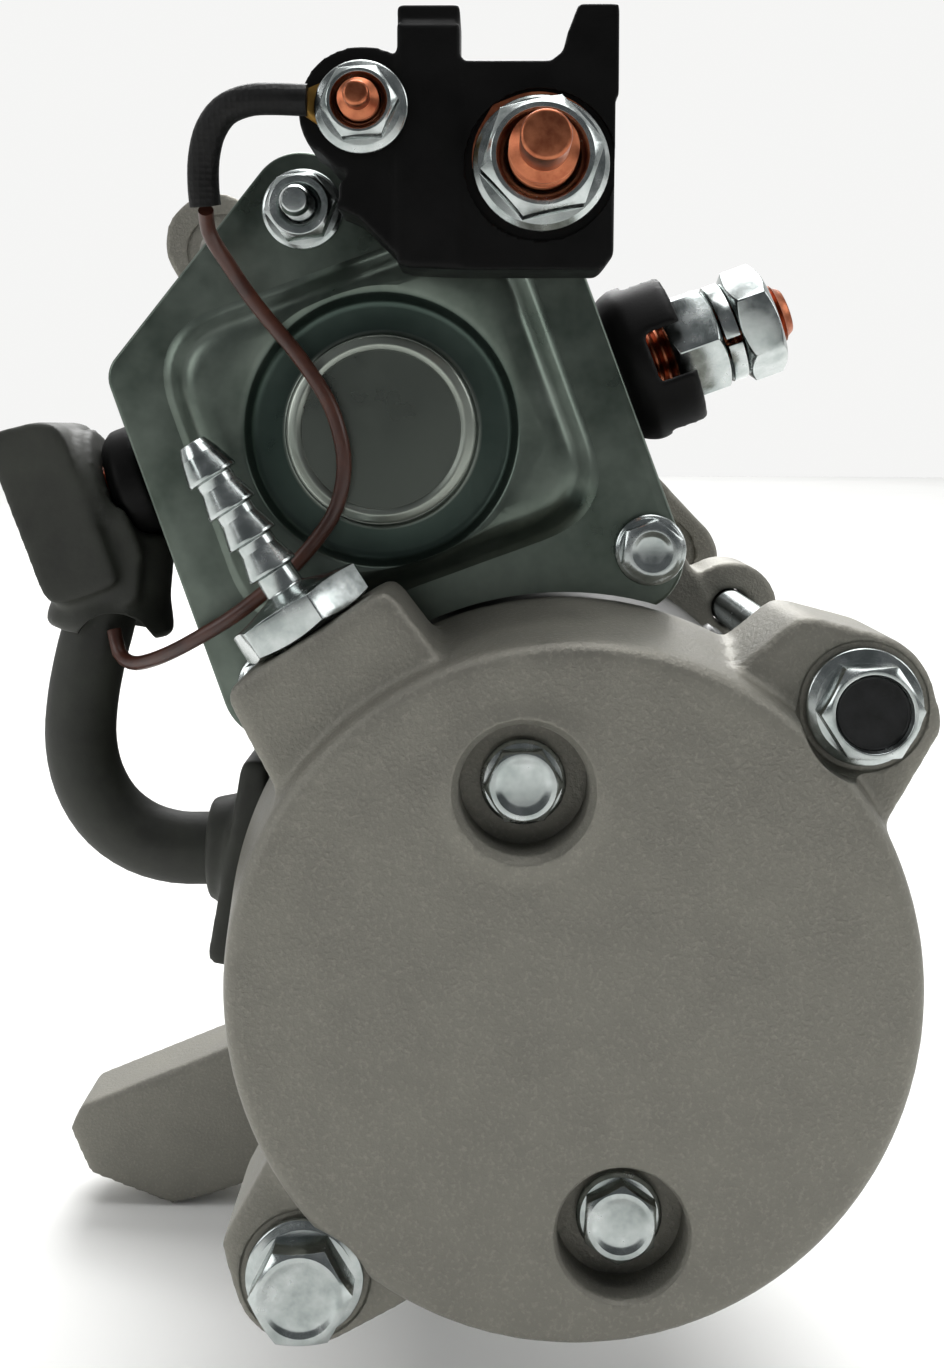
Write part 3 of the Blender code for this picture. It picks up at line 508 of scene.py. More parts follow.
# Chloroprene boot and lead: dull warm black, dusty.
RUBBER = Finish(
    "dusty_chloroprene_rubber", "dark_rubber", "#3b3d37", "#2b2c28", 0.0, (0.5, 0.68),
    patch_mm=10, grain_mm=0.9, relief_mm=0.04, specular=0.35,
)
SLEEVE = WovenFinish(
    "braided_glass_sleeve", "black_sleeve", "#131313", "#0c0c0c", 0.0, (0.45, 0.6),
    patch_mm=5, relief_mm=0.12, specular=0.2,
)
# Soft PVC on the thin wire: brown, smooth, with a low gloss.
BROWN_PVC = Finish(
    "brown_pvc_insulation", "brown_insulation", "#4f2c20", "#38201a", 0.0, (0.3, 0.42),
    patch_mm=6, grain_mm=1.2, relief_mm=0.01,
)
# Blackened steel in the hollow of a bolt head: a thin oily oxide, near black.
BLACKENED = Finish(
    "blackened_steel", "painted_steel", "#232425", "#151616", 0.6, (0.32, 0.5), patch_mm=3,
    grain_mm=0.6, relief_mm=0.03,
)
# Rolled brass strip of the crimped terminal and the brush plate.
BRASS = Finish(
    "rolled_brass", "copper", "#b08a4a", "#8a6833", 1.0, (0.28, 0.42), patch_mm=4, grain_mm=0.6,
    relief_mm=0.008,
)
CARBON = Finish(
    "pressed_carbon", "carbon", "#3b3b3e", "#2b2b2e", 0.3, (0.4, 0.55),
    patch_mm=4, grain_mm=0.4, relief_mm=0.03,
)
# Pale matt paint of the studio floor.
FLOOR_PAINT = Finish(
    "pale_studio_paint", "", "#f0f0ee", "#ebebe9", 0.0, (0.55, 0.65), patch_mm=300, grain_mm=2,
    relief_mm=0.01,
)
SPRING_WIRE = Finish(
    "drawn_spring_wire", "spring_steel", "#8d8e8f", "#6f7071", 1.0, (0.25, 0.35), patch_mm=5,
)


# ------------------------------------------------------------------ the bench


class Bench:
    """Modelling by hand: every shape starts as a primitive and is worked with operators."""

    @staticmethod
    def take(obj: Obj) -> Obj:
        """Select one object alone and make it the active one."""
        bpy.ops.object.select_all(action="DESELECT")
        obj.select_set(True)
        bpy.context.view_layer.objects.active = obj
        return obj

    @staticmethod
    def wire(name: str, points: list[Point]) -> Obj:
        """Draw a chain of edges by extruding one vertex, and leave it in edit mode.

        Args:
            name: The object's name.
            points: Points (x, y, z) in millimetres.

        Returns:
            The object, with all of its vertices selected.
        """
        bpy.ops.object.select_all(action="DESELECT")
        bpy.ops.mesh.primitive_plane_add(size=MM)
        obj = bpy.context.object
        obj.name = name
        bpy.ops.object.mode_set(mode="EDIT")
        bpy.ops.mesh.select_all(action="SELECT")
        bpy.ops.mesh.merge(type="CENTER")
        last = Vector((0, 0, 0))
        for number, point in enumerate(points):
            here = Vector(point) * MM
            step = tuple(here - last)
            if number:
                bpy.ops.mesh.extrude_region_move(TRANSFORM_OT_translate={"value": step})
            else:
                bpy.ops.transform.translate(value=step)
            last = here
        bpy.ops.mesh.select_all(action="SELECT")
        return obj

    @staticmethod
    def close_up() -> None:
        """Merge doubles, turn the faces outwards and leave edit mode."""
        bpy.ops.mesh.select_all(action="SELECT")
        bpy.ops.mesh.remove_doubles(threshold=1e-6)
        bpy.ops.mesh.normals_make_consistent(inside=False)
        bpy.ops.object.mode_set(mode="OBJECT")

    @classmethod
    def place(cls, obj: Obj, frame: Matrix) -> Obj:
        """Move an object to a frame and put the place in its mesh."""
        cls.take(obj)
        obj.matrix_world = frame
        bpy.ops.object.transform_apply(location=True, rotation=True, scale=True)
        return obj

    @classmethod
    def turn(cls, name: str, profile: list[Point], frame: Matrix, steps: int = 72) -> Obj:
        """Spin a profile about a frame's z axis.

        Args:
            name: The object's name.
            profile: Points (radius, height). One that starts or ends off the axis is closed.
            frame: Where the axis stands.
            steps: Steps in the full turn.

        Returns:
            The closed object.
        """
        ring = profile[0][0] > 1e-6 or profile[-1][0] > 1e-6
        chain = profile + [profile[0]] if ring else profile
        obj = cls.wire(name, [(r, 0.0, h) for r, h in chain])
        bpy.ops.mesh.spin(
            steps=steps, angle=2 * math.pi, center=(0, 0, 0), axis=(0, 0, 1), use_auto_merge=False
        )
        cls.close_up()
        return cls.place(obj, frame)

    @classmethod
    def lathe(cls, name: str, profile: list[Point], at: Point = PINION_AXIS, steps: int = 72) -> Obj:
        """Spin a profile of (radius, y) about an axis along Y."""
        return cls.turn(name, [(r, -y) for r, y in profile], rear_frame(at), steps)

    @classmethod
    def slab(cls, name: str, outline: list[Point], low: float, high: float, frame: Matrix) -> Obj:
        """Extrude a flat outline between two heights of a frame."""
        obj = cls.wire(name, [(x, y, low) for x, y in outline] + [(*outline[0], low)])
        bpy.ops.mesh.remove_doubles(threshold=1e-6)
        bpy.ops.mesh.select_all(action="SELECT")
        bpy.ops.mesh.edge_face_add()
        bpy.ops.mesh.extrude_region_move(TRANSFORM_OT_translate={"value": (0, 0, (high - low) * MM)})
        cls.close_up()
        return cls.place(obj, frame)

    @classmethod
    def loft(cls, name: str, outline: list[Point], half: Point, layers: list[Point],
             frame: Matrix) -> Obj:
        """Raise a symmetrical outline in layers that draw in towards its middle.

        Args:
            name: The object's name.
            outline: The outline at the foot.
            half: Half its width and half its height.
            layers: Pairs (height, inset) from the foot, whose inset is 0, to the top.
            frame: Where it stands.

        Returns:
            The closed object.
        """
        low, inset = layers[0]
        obj = cls.wire(name, [(x, y, low) for x, y in outline] + [(*outline[0], low)])
        bpy.ops.mesh.remove_doubles(threshold=1e-6)
        bpy.ops.mesh.select_all(action="SELECT")
        bpy.ops.mesh.edge_face_add()
        for height, drawn_in in layers[1:]:
            rise = (0, 0, (height - low) * MM)
            bpy.ops.mesh.extrude_region_move(TRANSFORM_OT_translate={"value": rise})
            scale = [(side - drawn_in) / (side - inset) for side in half]
            bpy.ops.transform.resize(value=(scale[0], scale[1], 1))
            low, inset = height, drawn_in
        cls.close_up()
        return cls.place(obj, frame)

    @classmethod
    def plate(cls, name: str, outline: list[Point], rear: float, front: float,
              frame: Matrix | None = None) -> Obj:
        """Extrude a flat outline between two stations of Y."""
        return cls.slab(name, outline, -front, -rear, frame or rear_frame())

    @classmethod
    def rod(cls, name: str, radius: float, rear: float, front: float, at: Point = PINION_AXIS,
            steps: int = 40) -> Obj:
        """Make a plain round bar along Y, for joining and cutting."""
        bpy.ops.object.select_all(action="DESELECT")
        bpy.ops.mesh.primitive_cylinder_add(
            vertices=steps, radius=radius * MM, depth=(front - rear) * MM,
            location=(at[0] * MM, (front + rear) / 2 * MM, at[1] * MM),
            rotation=(math.pi / 2, 0, 0),
        )
        obj = bpy.context.object
        obj.name = name
        bpy.ops.object.transform_apply(location=True, rotation=True, scale=True)
        return obj

    @classmethod
    def apply(cls, obj: Obj, kind: str, **settings: object) -> Obj:
        """Add a modifier with its settings and apply it."""
        cls.take(obj)
        made = obj.modifiers.new(kind.title(), kind)
        for name, value in settings.items():
            setattr(made, name, value)
        bpy.ops.object.modifier_apply(modifier=made.name)
        return obj

    @classmethod
    def combine(cls, obj: Obj, operation: str, tools: tuple[Obj, ...]) -> Obj:
        """Join or cut an object with others, which are used up."""
        for tool in tools:
            cls.apply(obj, "BOOLEAN", operation=operation, object=tool, solver="EXACT")
            bpy.data.objects.remove(tool)
        return obj

    @classmethod
    def join(cls, obj: Obj, *tools: Obj) -> Obj:
        """Join other solids to an object."""
        return cls.combine(obj, "UNION", tools)

    @classmethod
    def cut(cls, obj: Obj, *tools: Obj) -> Obj:
        """Cut other solids out of an object, one after another."""
        return cls.combine(obj, "DIFFERENCE", tools)

    @classmethod
    def drill(cls, obj: Obj, *tools: Obj) -> Obj:
        """Cut solids that stay clear of each other out of an object, all at once."""
        bpy.ops.object.select_all(action="DESELECT")
        for tool in tools:
            tool.select_set(True)
        bpy.context.view_layer.objects.active = tools[0]
        bpy.ops.object.join()
        return cls.combine(obj, "DIFFERENCE", tools[:1])

    @classmethod
    def melt(cls, obj: Obj, voxel: float, passes: int) -> Obj:
        """Give a solid the soft edges and fillets of a casting or a moulding.

        Args:
            obj: The solid.
            voxel: Grid size of the new surface, in millimetres.
            passes: How many times it is smoothed.

        Returns:
            The same object.
        """
        cls.apply(obj, "REMESH", mode="VOXEL", voxel_size=voxel * MM, use_smooth_shade=True)
        if passes:
            cls.apply(obj, "SMOOTH", factor=0.5, iterations=passes)
        cls.take(obj)
        bpy.ops.object.shade_smooth()
        return obj

    @classmethod
    def ease(cls, obj: Obj, width: float, segments: int = 3, angle: float = 35) -> Obj:
        """Bevel the sharp edges and shade the rest smooth."""
        cls.apply(
            obj, "BEVEL", width=width * MM, segments=segments, limit_method="ANGLE",
            angle_limit=math.radians(angle), use_clamp_overlap=True,
        )
        cls.take(obj)
        bpy.ops.object.shade_smooth_by_angle(angle=math.radians(38))
        return obj

    @classmethod
    def shade(cls, obj: Obj, angle: float = 30) -> Obj:
        """Shade a piece smooth, with its sharp edges kept."""
        cls.take(obj)
        bpy.ops.object.shade_smooth_by_angle(angle=math.radians(angle))
        return obj

    @classmethod
    def hex_trim(cls, obj: Obj, flats: float, low: float, high: float, frame: Matrix,
                 turn: float = 0.0) -> Obj:
        """Cut six flats on a round piece between two heights of its frame."""
        outside = cls.slab("outside", circle((0, 0), flats, 24), low, high, frame)
        core = cls.slab("core", hexagon(flats, turn), low - 1, high + 1, frame)
        return cls.cut(obj, cls.cut(outside, core))


def finished(obj: Obj, finish: Finish, body: Body, *nodes: str) -> Obj:
    """Dress a piece, put it on its body and let it stand for its CAD nodes.

    Args:
        obj: The piece.
        finish: What it is made of.
        body: The CAD body it moves with.
        nodes: The CAD nodes it replaces.

    Returns:
        The same object.
    """
    obj.data.materials.clear()
    obj.data.materials.append(finish.build())
    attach(obj, body.value)
    if nodes:
        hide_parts(*nodes)
    LOG.info("%s: %s", obj.name, finish.name)
    return obj


# ------------------------------------------------------------------ fasteners


def threaded(radius: float, top: float, bottom: float, pitch: float) -> list[Point]:
    """Give the profile of a thread's flanks from top to bottom."""
    depth = pitch * 0.5
    count = max(int((top - bottom) / pitch), 1)
    step = (top - bottom) / count
    points: list[Point] = []
    for i in range(count):
        crest = top - step * i
        points += [(radius, crest - step * 0.12), (radius - depth, crest - step * 0.5)]
        points += [(radius, crest - step * 0.88)]
    return points


@dataclass
class FlangeNut:
    """A hex nut on its own washer flange."""

    name: str
    flats: float
    flange: float
    height: float
    bore: float
    turn: float = 15.0

    def build(self, frame: Matrix, base: float) -> Obj:
        """Model the nut standing up from a height of a frame."""
        top = base + self.height
        across = self.flats / math.sqrt(3)
        skirt = base + self.height * 0.3
        body = fillet([
            (self.bore, base), (self.bore, top - self.bore * 0.34), (self.bore * 1.26, top, 0.2),
            (self.flats * 0.465, top, 0.3), (across + 0.2, top - self.height * 0.2),
            (across + 0.2, skirt), (self.flats * 0.54, skirt - 0.4, 0.8),
            (self.flange, base + 0.9, 0.5), (self.flange, base, 0.4),
        ])
        nut = Bench.turn(self.name, body, frame, 60)
        Bench.hex_trim(nut, self.flats, skirt, top + 1, frame, self.turn)
        return Bench.ease(nut, 0.25, 2, 25)


@dataclass
class FlangeBolt:
    """A flanged hex bolt with a dished or a domed top and a threaded end."""

    name: str
    flats: float
    flange: float
    head: float
    shank: float
    length: float
    dish: float = 0.0
    turn: float = 10.0
    round_top: float = 0.44

    def build(self, frame: Matrix, base: float) -> Obj:
        """Model the bolt with its head standing up from a height of a frame."""
        top = base + self.head
        across = self.flats / math.sqrt(3)
        crown = self.flats * self.round_top
        if self.dish > 0:
            cap: list[Point] = [
                (0, top - self.dish), (crown - 0.9, top - self.dish, 0.4), (crown - 0.5, top, 0.2)
            ]
        else:
            cap = [(0, top - 0.6), (crown - 1.6, top - 0.4, 2.0), (crown - 0.7, top, 0.3)]
        thread_end = base - self.length
        thread_start = base - self.length * 0.55
        body = fillet([
            *cap, (crown, top), (across + 0.2, top - self.head * 0.14), (across + 0.2, base + 1.9),
            (self.flats * 0.55, base + 1.5, 0.8), (self.flange, base + 1.1, 0.5),
            (self.flange, base, 0.3), (self.shank, base), (self.shank, thread_start),
            *threaded(self.shank, thread_start, thread_end, 1.25),
            (self.shank - 0.6, thread_end), (0, thread_end),
        ], closed=False)
        bolt = Bench.turn(self.name, body, frame, 48)
        Bench.hex_trim(bolt, self.flats, base + 1.7, top + 1, frame, self.turn)
        return Bench.ease(bolt, 0.22, 2, 28)


@dataclass
class Stud:
    """A copper stud with a cut thread and a plain round end."""

    name: str
    radius: float
    end_radius: float
    root: float
    thread_end: float
    tip: float
    pitch: float

    def build(self, frame: Matrix) -> Obj:
        """Model the stud along a frame's z axis."""
        profile: list[Point] = [
            (0, self.tip), (self.end_radius, self.tip, 0.6), (self.end_radius, self.thread_end + 0.6),
            *threaded(self.radius, self.thread_end, self.root + 3, self.pitch),
        ]
        profile += [(self.radius, self.root), (0, self.root)]
        return Bench.shade(Bench.turn(self.name, fillet(profile, 4, False), frame, 36), 40)


# ------------------------------------------------------------------ motor


@dataclass
class RearEnd:
    """The cast end frame with its lobes, counterbores and vent boss, and its bolts."""

    face: float = -205.0
    front: float = -169.3
    lobe_face: float = -197.0
    bolt_circle: float = 58.6
    bolt_angles: tuple[float, float] = (43.0, 228.0)
    brush_bolts: tuple[Point, Point] = ((-7.2, 29.1), (6.8, -34.2))
    vent_hex: Point = (-11.4, -189.5, -27.8)
    vent_lean: float = 122.7
    lobe_corners: tuple[tuple[Point, ...], ...] = (((-8.2, 10.2), (8.8, -2.6)), ((-9.3, 4.0),))
    bolts: list[Point] = field(init=False)

    def __post_init__(self) -> None:
        """Work out where the through bolts stand."""
        self.bolts = [
            (MOTOR_AXIS[0] + self.bolt_circle * math.cos(math.radians(a)),
             MOTOR_AXIS[1] + self.bolt_circle * math.sin(math.radians(a)))
            for a in self.bolt_angles
        ]

    def at(self, offset: Point) -> Point:
        """Give the upright place of a point measured from the motor's axis."""
        return (MOTOR_AXIS[0] + offset[0], MOTOR_AXIS[1] + offset[1])

    def vent_frame(self) -> Matrix:
        """Give the frame of the vent fitting, with z out along it."""
        lean = math.radians(self.vent_lean)
        return axis_frame(self.vent_hex, (math.cos(lean), 0, math.sin(lean)))

    def lobe(self, bolt: Point, corners: tuple[Point, ...], rear: float) -> Obj:
        """Model a lobe that runs from the casing out to a bolt and to corners beside it."""
        local = (bolt[0] - MOTOR_AXIS[0], bolt[1] - MOTOR_AXIS[1])
        foot = (local[0] * FOOT_SHARE, local[1] * FOOT_SHARE)
        points = circle(local, 10.8, 40) + circle(foot, 17.5, 40)
        for x, z in corners:
            points += circle((local[0] + x, local[1] + z), 3, 20)
        outline = hull(points)
        return Bench.plate("lobe", outline, rear, self.front, rear_frame(MOTOR_AXIS))

    def casting(self) -> Obj:
        """Model the casting: joined solids melted into one skin, with its inside cut after."""
        body = Bench.lathe("rear_casting", fillet([
            (0, self.face), (50.0, self.face, 3.2), (50.6, -201.5, 2), (53.5, -176, 2),
            (53.5, self.front), (46, self.front), (46, -199), (0, -199),
        ], 6, False), MOTOR_AXIS, 128)
        for bolt, corners in zip(self.bolts, self.lobe_corners):
            Bench.join(body, self.lobe(bolt, corners, self.lobe_face - 0.4))
        ribs = [Bench.lathe("raised_ring", fillet([
            (0, self.face - 0.9), (11.3, self.face - 0.9, 0.8), (12.4, self.face + 1), (0, self.face + 1),
        ], 4, False), self.at(self.brush_bolts[0]), 64)]
        for spot in self.brush_bolts:
            ribs.append(Bench.rod("boss", 11.5, -200, -190.5, self.at(spot)))
        ribs.append(Bench.plate(
            "seat_boss", circle((0, 0), 18, 64), -200, -189, rear_frame(MOTOR_AXIS)))
        lean = math.radians(self.vent_lean)
        vent = rear_frame((self.vent_hex[0], self.vent_hex[2]), lean)
        outline = fillet([(-38, -17), (-3.2, -14.2, 2.6), (-3.2, 14.2, 2.6), (-38, 17)])
        ribs.append(Bench.plate("vent_boss", outline, -200.5, -178.6, vent))
        web = fillet([(-44, -34), (-22, -15.5, 8), (-6, -14), (-6, 14), (-22, 15.5, 8), (-44, 34)])
        ribs.append(Bench.plate("vent_web", web, -197.5, -179.5, vent))
        Bench.join(body, *ribs)
        Bench.melt(body, 0.85, 11)
        body.name = "end_frame_casting"
        cuts = [Bench.rod("bearing_room", 14, -199.3, -160, MOTOR_AXIS)]
        for spot in self.brush_bolts:
            cuts.append(Bench.lathe("counterbore", fillet([
                (0, -170), (3.4, -170), (3.4, -197), (9.35, -197), (9.35, -204.2, 1.6),
                (10.6, -206.2), (10.6, -215), (0, -215),
            ], 6, False), self.at(spot), 72))
        for bolt in self.bolts:
            cuts.append(Bench.lathe("spot_face", fillet([
                (0, -160), (4.4, -160), (4.4, self.lobe_face), (9.5, self.lobe_face, 0.4),
                (10.4, -198.6), (10.4, -220), (0, -220),
            ], 4, False), bolt, 72))
        cuts.append(Bench.turn(
            "vent_bore", [(0, 5), (6.8, 5), (6.8, -14), (3, -17), (3, -34), (0, -34)], self.vent_frame(), 32))
        return Bench.drill(body, *cuts)

    def vent_fitting(self) -> Obj:
        """Model the plated hose fitting with four barbs, a hex and a seat."""
        profile: list[Point] = [(1.5, 30.5), (2.1, 30.5, 0.2), (2.5, 29.6, 0.3)]
        for top in (29.0, 23.4, 17.8, 12.2):
            profile += [(3.0, top - 0.6, 0.2), (4.0, top - 4.0, 0.25), (4.0, top - 4.5, 0.2)]
            profile += [(3.0, top - 4.7, 0.2)]
        profile += [
            (3.1, 4.2, 0.6), (7.2, 2.95, 0.3), (11.2, 2.1), (11.2, -2.1), (9.0, -2.95), (6.4, -3.0),
            (6.4, -12.5), (1.5, -12.5),
        ]
        fitting = Bench.turn("vent_fitting", fillet(profile, 4), self.vent_frame(), 56)
        Bench.hex_trim(fitting, 19.5, -3.2, 3.2, self.vent_frame(), 20)
        return Bench.ease(fitting, 0.2, 2, 30)

    def build(self) -> None:
        """Model the casting and everything that is screwed into it."""
        finished(self.casting(), CAST, Body.HOUSING, "rear_end_frame")
        for place, bolt in zip(("upper", "lower"), self.bolts):
            dish = 1.2 if place == "upper" else 0.0
            spec = FlangeBolt(f"long_bolt_{place}", 13.0, 8.7, 7.5, 4.0, 153, dish, 2, 0.475)
            made = spec.build(rear_frame(bolt), 0.3 - self.lobe_face)
            finished(made, BRIGHT_ZINC, Body.HOUSING, f"through_bolt_{place}")
        face = Bench.turn("blackened_bolt_face", fillet([
            (0, 203.62), (5.0, 203.62, 0.2), (5.25, 203.9, 0.1), (5.3, 203.5), (0, 203.5),
        ], 3, False), rear_frame(self.bolts[0]), 48)
        finished(face, BLACKENED, Body.HOUSING)
        for place, spot, turn in zip(("upper", "lower"), self.brush_bolts, (2, 26)):
            spec = FlangeBolt(f"recessed_bolt_{place}", 10, 6.3, 4.9, 3.0, 11.2, 0, turn, 0.48)
            made = spec.build(rear_frame(self.at(spot)), 197.3)
            finished(made, BRIGHT_ZINC, Body.HOUSING, f"brush_plate_bolt_{place}")
        finished(self.vent_fitting(), BRIGHT_ZINC, Body.HOUSING, "vent_hose_barb")


@dataclass
class MotorCase:
    """The yoke tube with its rolled ends, and the grommet where the lead goes in."""

    outer: float = 51.0
    inner: float = 45.0
    rear: float = -169.0
    front: float = -62.3

    def build(self) -> None:
        """Model the yoke and the grommet."""
        tube = Bench.lathe("yoke_tube", fillet([
            (self.outer - 0.8, self.rear, 0.4), (self.outer, self.rear + 1.2, 0.4),
            (self.outer, self.front - 1.2, 0.4), (self.outer - 0.8, self.front, 0.4),
            (self.inner, self.front), (self.inner, self.rear),
        ], 4), MOTOR_AXIS, 128)
        window = rear_frame(MOTOR_AXIS, math.radians(-10))
        slot = Bench.plate("slot", [(-60, -13), (-40, -13), (-40, 13), (-60, 13)], -175, -148, window)
        Bench.cut(tube, slot)
        for number in range(4):
            turn = math.radians(45 + 90 * number)
            for station in (-132.0, -98.0):
                centre = (MOTOR_AXIS[0] + self.outer * math.cos(turn), station,
                          MOTOR_AXIS[1] + self.outer * math.sin(turn))
                if number == 1 and station < -100:
                    continue
                head = Bench.turn("pole_screw", fillet([
                    (0, 0.2), (2.6, 0.2), (3.0, 1.6, 0.3), (5.6, 1.0, 0.5), (6.2, -0.9), (0, -0.9),
                ], 4, False), axis_frame(centre, (math.cos(turn), 0, math.sin(turn))), 32)
                Bench.join(tube, head)
        Bench.shade(tube, 30)
        finished(tube, PAINTED, Body.HOUSING, "yoke")
        plug = Bench.plate("grommet_block", fillet([
            (-56.5, -12.6, 1), (-46, -12.6, 1), (-46, 12.6, 1), (-56.5, 12.6, 1)]), -168.6, -148.6, window)
        lip = Bench.plate("lip", fillet([
            (-56.5, -17, 2), (-51.8, -17, 1.5), (-51.8, 17, 1.5), (-56.5, 17, 2)]), -168.6, -145, window)
        mouth = axis_frame((-24, -158.4, -71), (-1, 0, 0))
        profile = fillet([(0, 6), (8.4, 6, 1.2), (9.4, 0), (0, 0)], 4, False)
        Bench.join(plug, lip, Bench.turn("collar", profile, mouth, 40))
        Bench.melt(plug, 0.7, 3)
        hole = Bench.turn("hole", [(0, 14), (6.25, 14), (6.25, -5), (0, -5)], mouth, 40)
        Bench.cut(plug, hole)
        plug.name = "lead_seal"
        finished(plug, RUBBER, Body.HOUSING, "lead_grommet")


@dataclass
class GearCase:
    """The two castings round the gears: gear housing with its lug, and drive housing."""

    ear_circle: float = 71.3
    hole_circle: float = 68.0
    ear_angles: tuple[float, ...] = (138.0, 246.0, 332.0)
    ear_radius: float = 12.8

    def middle(self, bolts: list[Point]) -> Obj:
        """Model the gear housing with its bolt ears and the support lug."""
        lean = rear_frame(lean=TILT)
        v = -AXIS_SPREAD
        body = Bench.plate(
            "gear_casting", hull(circle((0, v), 53.4, 96) + circle((0, 0), 40, 80)), -62, -40.3, lean)
        for bolt in bolts:
            local = (bolt[0] - MOTOR_AXIS[0], bolt[1] - MOTOR_AXIS[1])
            foot = (local[0] * FOOT_SHARE, local[1] * FOOT_SHARE)
            outline = hull(circle(local, 10.5, 36) + circle(foot, 16, 36))
            Bench.join(body, Bench.plate("ear", outline, -61.4, -40.9, rear_frame(MOTOR_AXIS)))
        lug = Bench.plate("lug", fillet([
            (-30, v - 30), (-124, v - 33, 2), (-128, v - 37, 2), (-127, v - 48, 2), (-112, v - 61, 3),
            (-104, v - 62, 3), (-30, v - 64),
        ]), -61.7, -40.6, lean)
        rib = Bench.lathe("rib", fillet([
            (0, -40), (38.5, -40), (38.5, -60), (36.5, -63.6, 1.5), (0, -63.6)], 4, False)[::-1],
            PINION_AXIS, 96)
        Bench.join(body, lug, rib)
        Bench.cut(body, Bench.rod("can_seat", 33.6, -75, -61.8, steps=96))
        for bolt in bolts:
            Bench.cut(body, Bench.rod("thread", 4.5, -75, -30, bolt, 24))
        Bench.melt(body, 1.0, 4)
        cuts = [
            Bench.lathe("winding_room", [
                (0, -75), (40, -75), (40, -55), (9.5, -55), (9.5, -52.3), (17.9, -52.3), (17.9, -30),
                (0, -30),
            ], MOTOR_AXIS, 64),
            Bench.lathe("clutch_room", [
                (0, -80), (6.5, -80), (6.5, -52.3), (26.4, -52.3), (26.4, -30), (0, -30),
            ], PINION_AXIS, 64),
            Bench.rod("pin_hole", 5.4, -52, -30, IDLER_AXIS, 24),
        ]
        for u in (-36, 36):
            cuts.append(Bench.rod("screw_hole", 3.4, -52, -30, leaning(u, -33), 20))
        return Bench.drill(body, *cuts)

    def front(self) -> Obj:
        """Model the drive housing: gear room, flange with three ears, pilot and nose."""
        lean = rear_frame(lean=TILT)
        outline = hull(circle((0, 0), 46, 96) + circle((0, -IDLER_SPREAD), 38, 64)
                       + circle((0, -AXIS_SPREAD), 24, 48))
        body = Bench.plate("drive_casting", outline, -40, -12, lean)
        points: list[Point] = []
        for number, out in enumerate(self.ear_angles):
            onward = self.ear_angles[(number + 1) % 3] + (360 if number == 2 else 0)
            turn = math.radians(out)
            centre = (self.ear_circle * math.cos(turn), self.ear_circle * math.sin(turn))
            points += arc(centre, self.ear_radius, out - 80, out + 80, 15)
            points += arc((0, 0), 47.5, out + 30, onward - 30, 16)
        flange = Bench.plate("flange", points, -14, 0)
        nose = Bench.lathe("nose", fillet([
            (0, -4.5), (41, -4.5), (41, 6, 0.8), (32, 7, 3), (29, 12, 3), (27, 20, 1.2), (0, 20),
        ], 5, False), PINION_AXIS, 96)
        Bench.join(body, flange, nose)
        for turn in (-0.6, 0.1, 0.8, 1.5, 2.2, 3.0, 3.8):
            spoke = rear_frame(lean=turn + TILT)
            Bench.join(body, Bench.slab("rib", [(28, -1.6), (44, -1.6), (44, 1.6), (28, 1.6)], -9, 4, spoke))
        turns = [math.radians(a) for a in self.ear_angles]
        ears = [(self.hole_circle * math.cos(a), self.hole_circle * math.sin(a)) for a in turns]
        Bench.melt(body, 1.0, 4)
        room = hull(circle((0, 0), 41, 64) + circle((0, -IDLER_SPREAD), 22.5, 40)
                    + circle((0, -AXIS_SPREAD), 13.5, 32))
        Bench.cut(body, Bench.plate("gear_room", room, -45, -19, lean))
        cuts = [
            Bench.lathe("bearing_room", [
                (0, -27), (31.3, -27), (31.3, -1.7), (20.8, -1.7), (20.8, 30), (0, 30),
            ], PINION_AXIS, 80),
            Bench.rod("pin_hole", 5.3, -25, -15, IDLER_AXIS, 24),
        ]
        for ear in ears:
            cuts.append(Bench.lathe("mounting_hole", [
                (0, -30), (9.6, -30), (9.6, -13.4), (6.5, -13.4), (6.5, 10), (0, 10),
            ], ear, 48))
        cuts += [Bench.rod("screw_hole", 3.4, -42, -24, leaning(u, -33), 20) for u in (-36, 36)]
        return Bench.drill(body, *cuts)

    def build(self, bolts: list[Point]) -> None:
        """Model both castings."""
        made = self.middle(bolts)
        made.name = "gear_casting"
        finished(made, CAST, Body.HOUSING, "gear_housing")
        made = self.front()
        made.name = "drive_casting"
        finished(made, CAST, Body.HOUSING, "drive_housing")


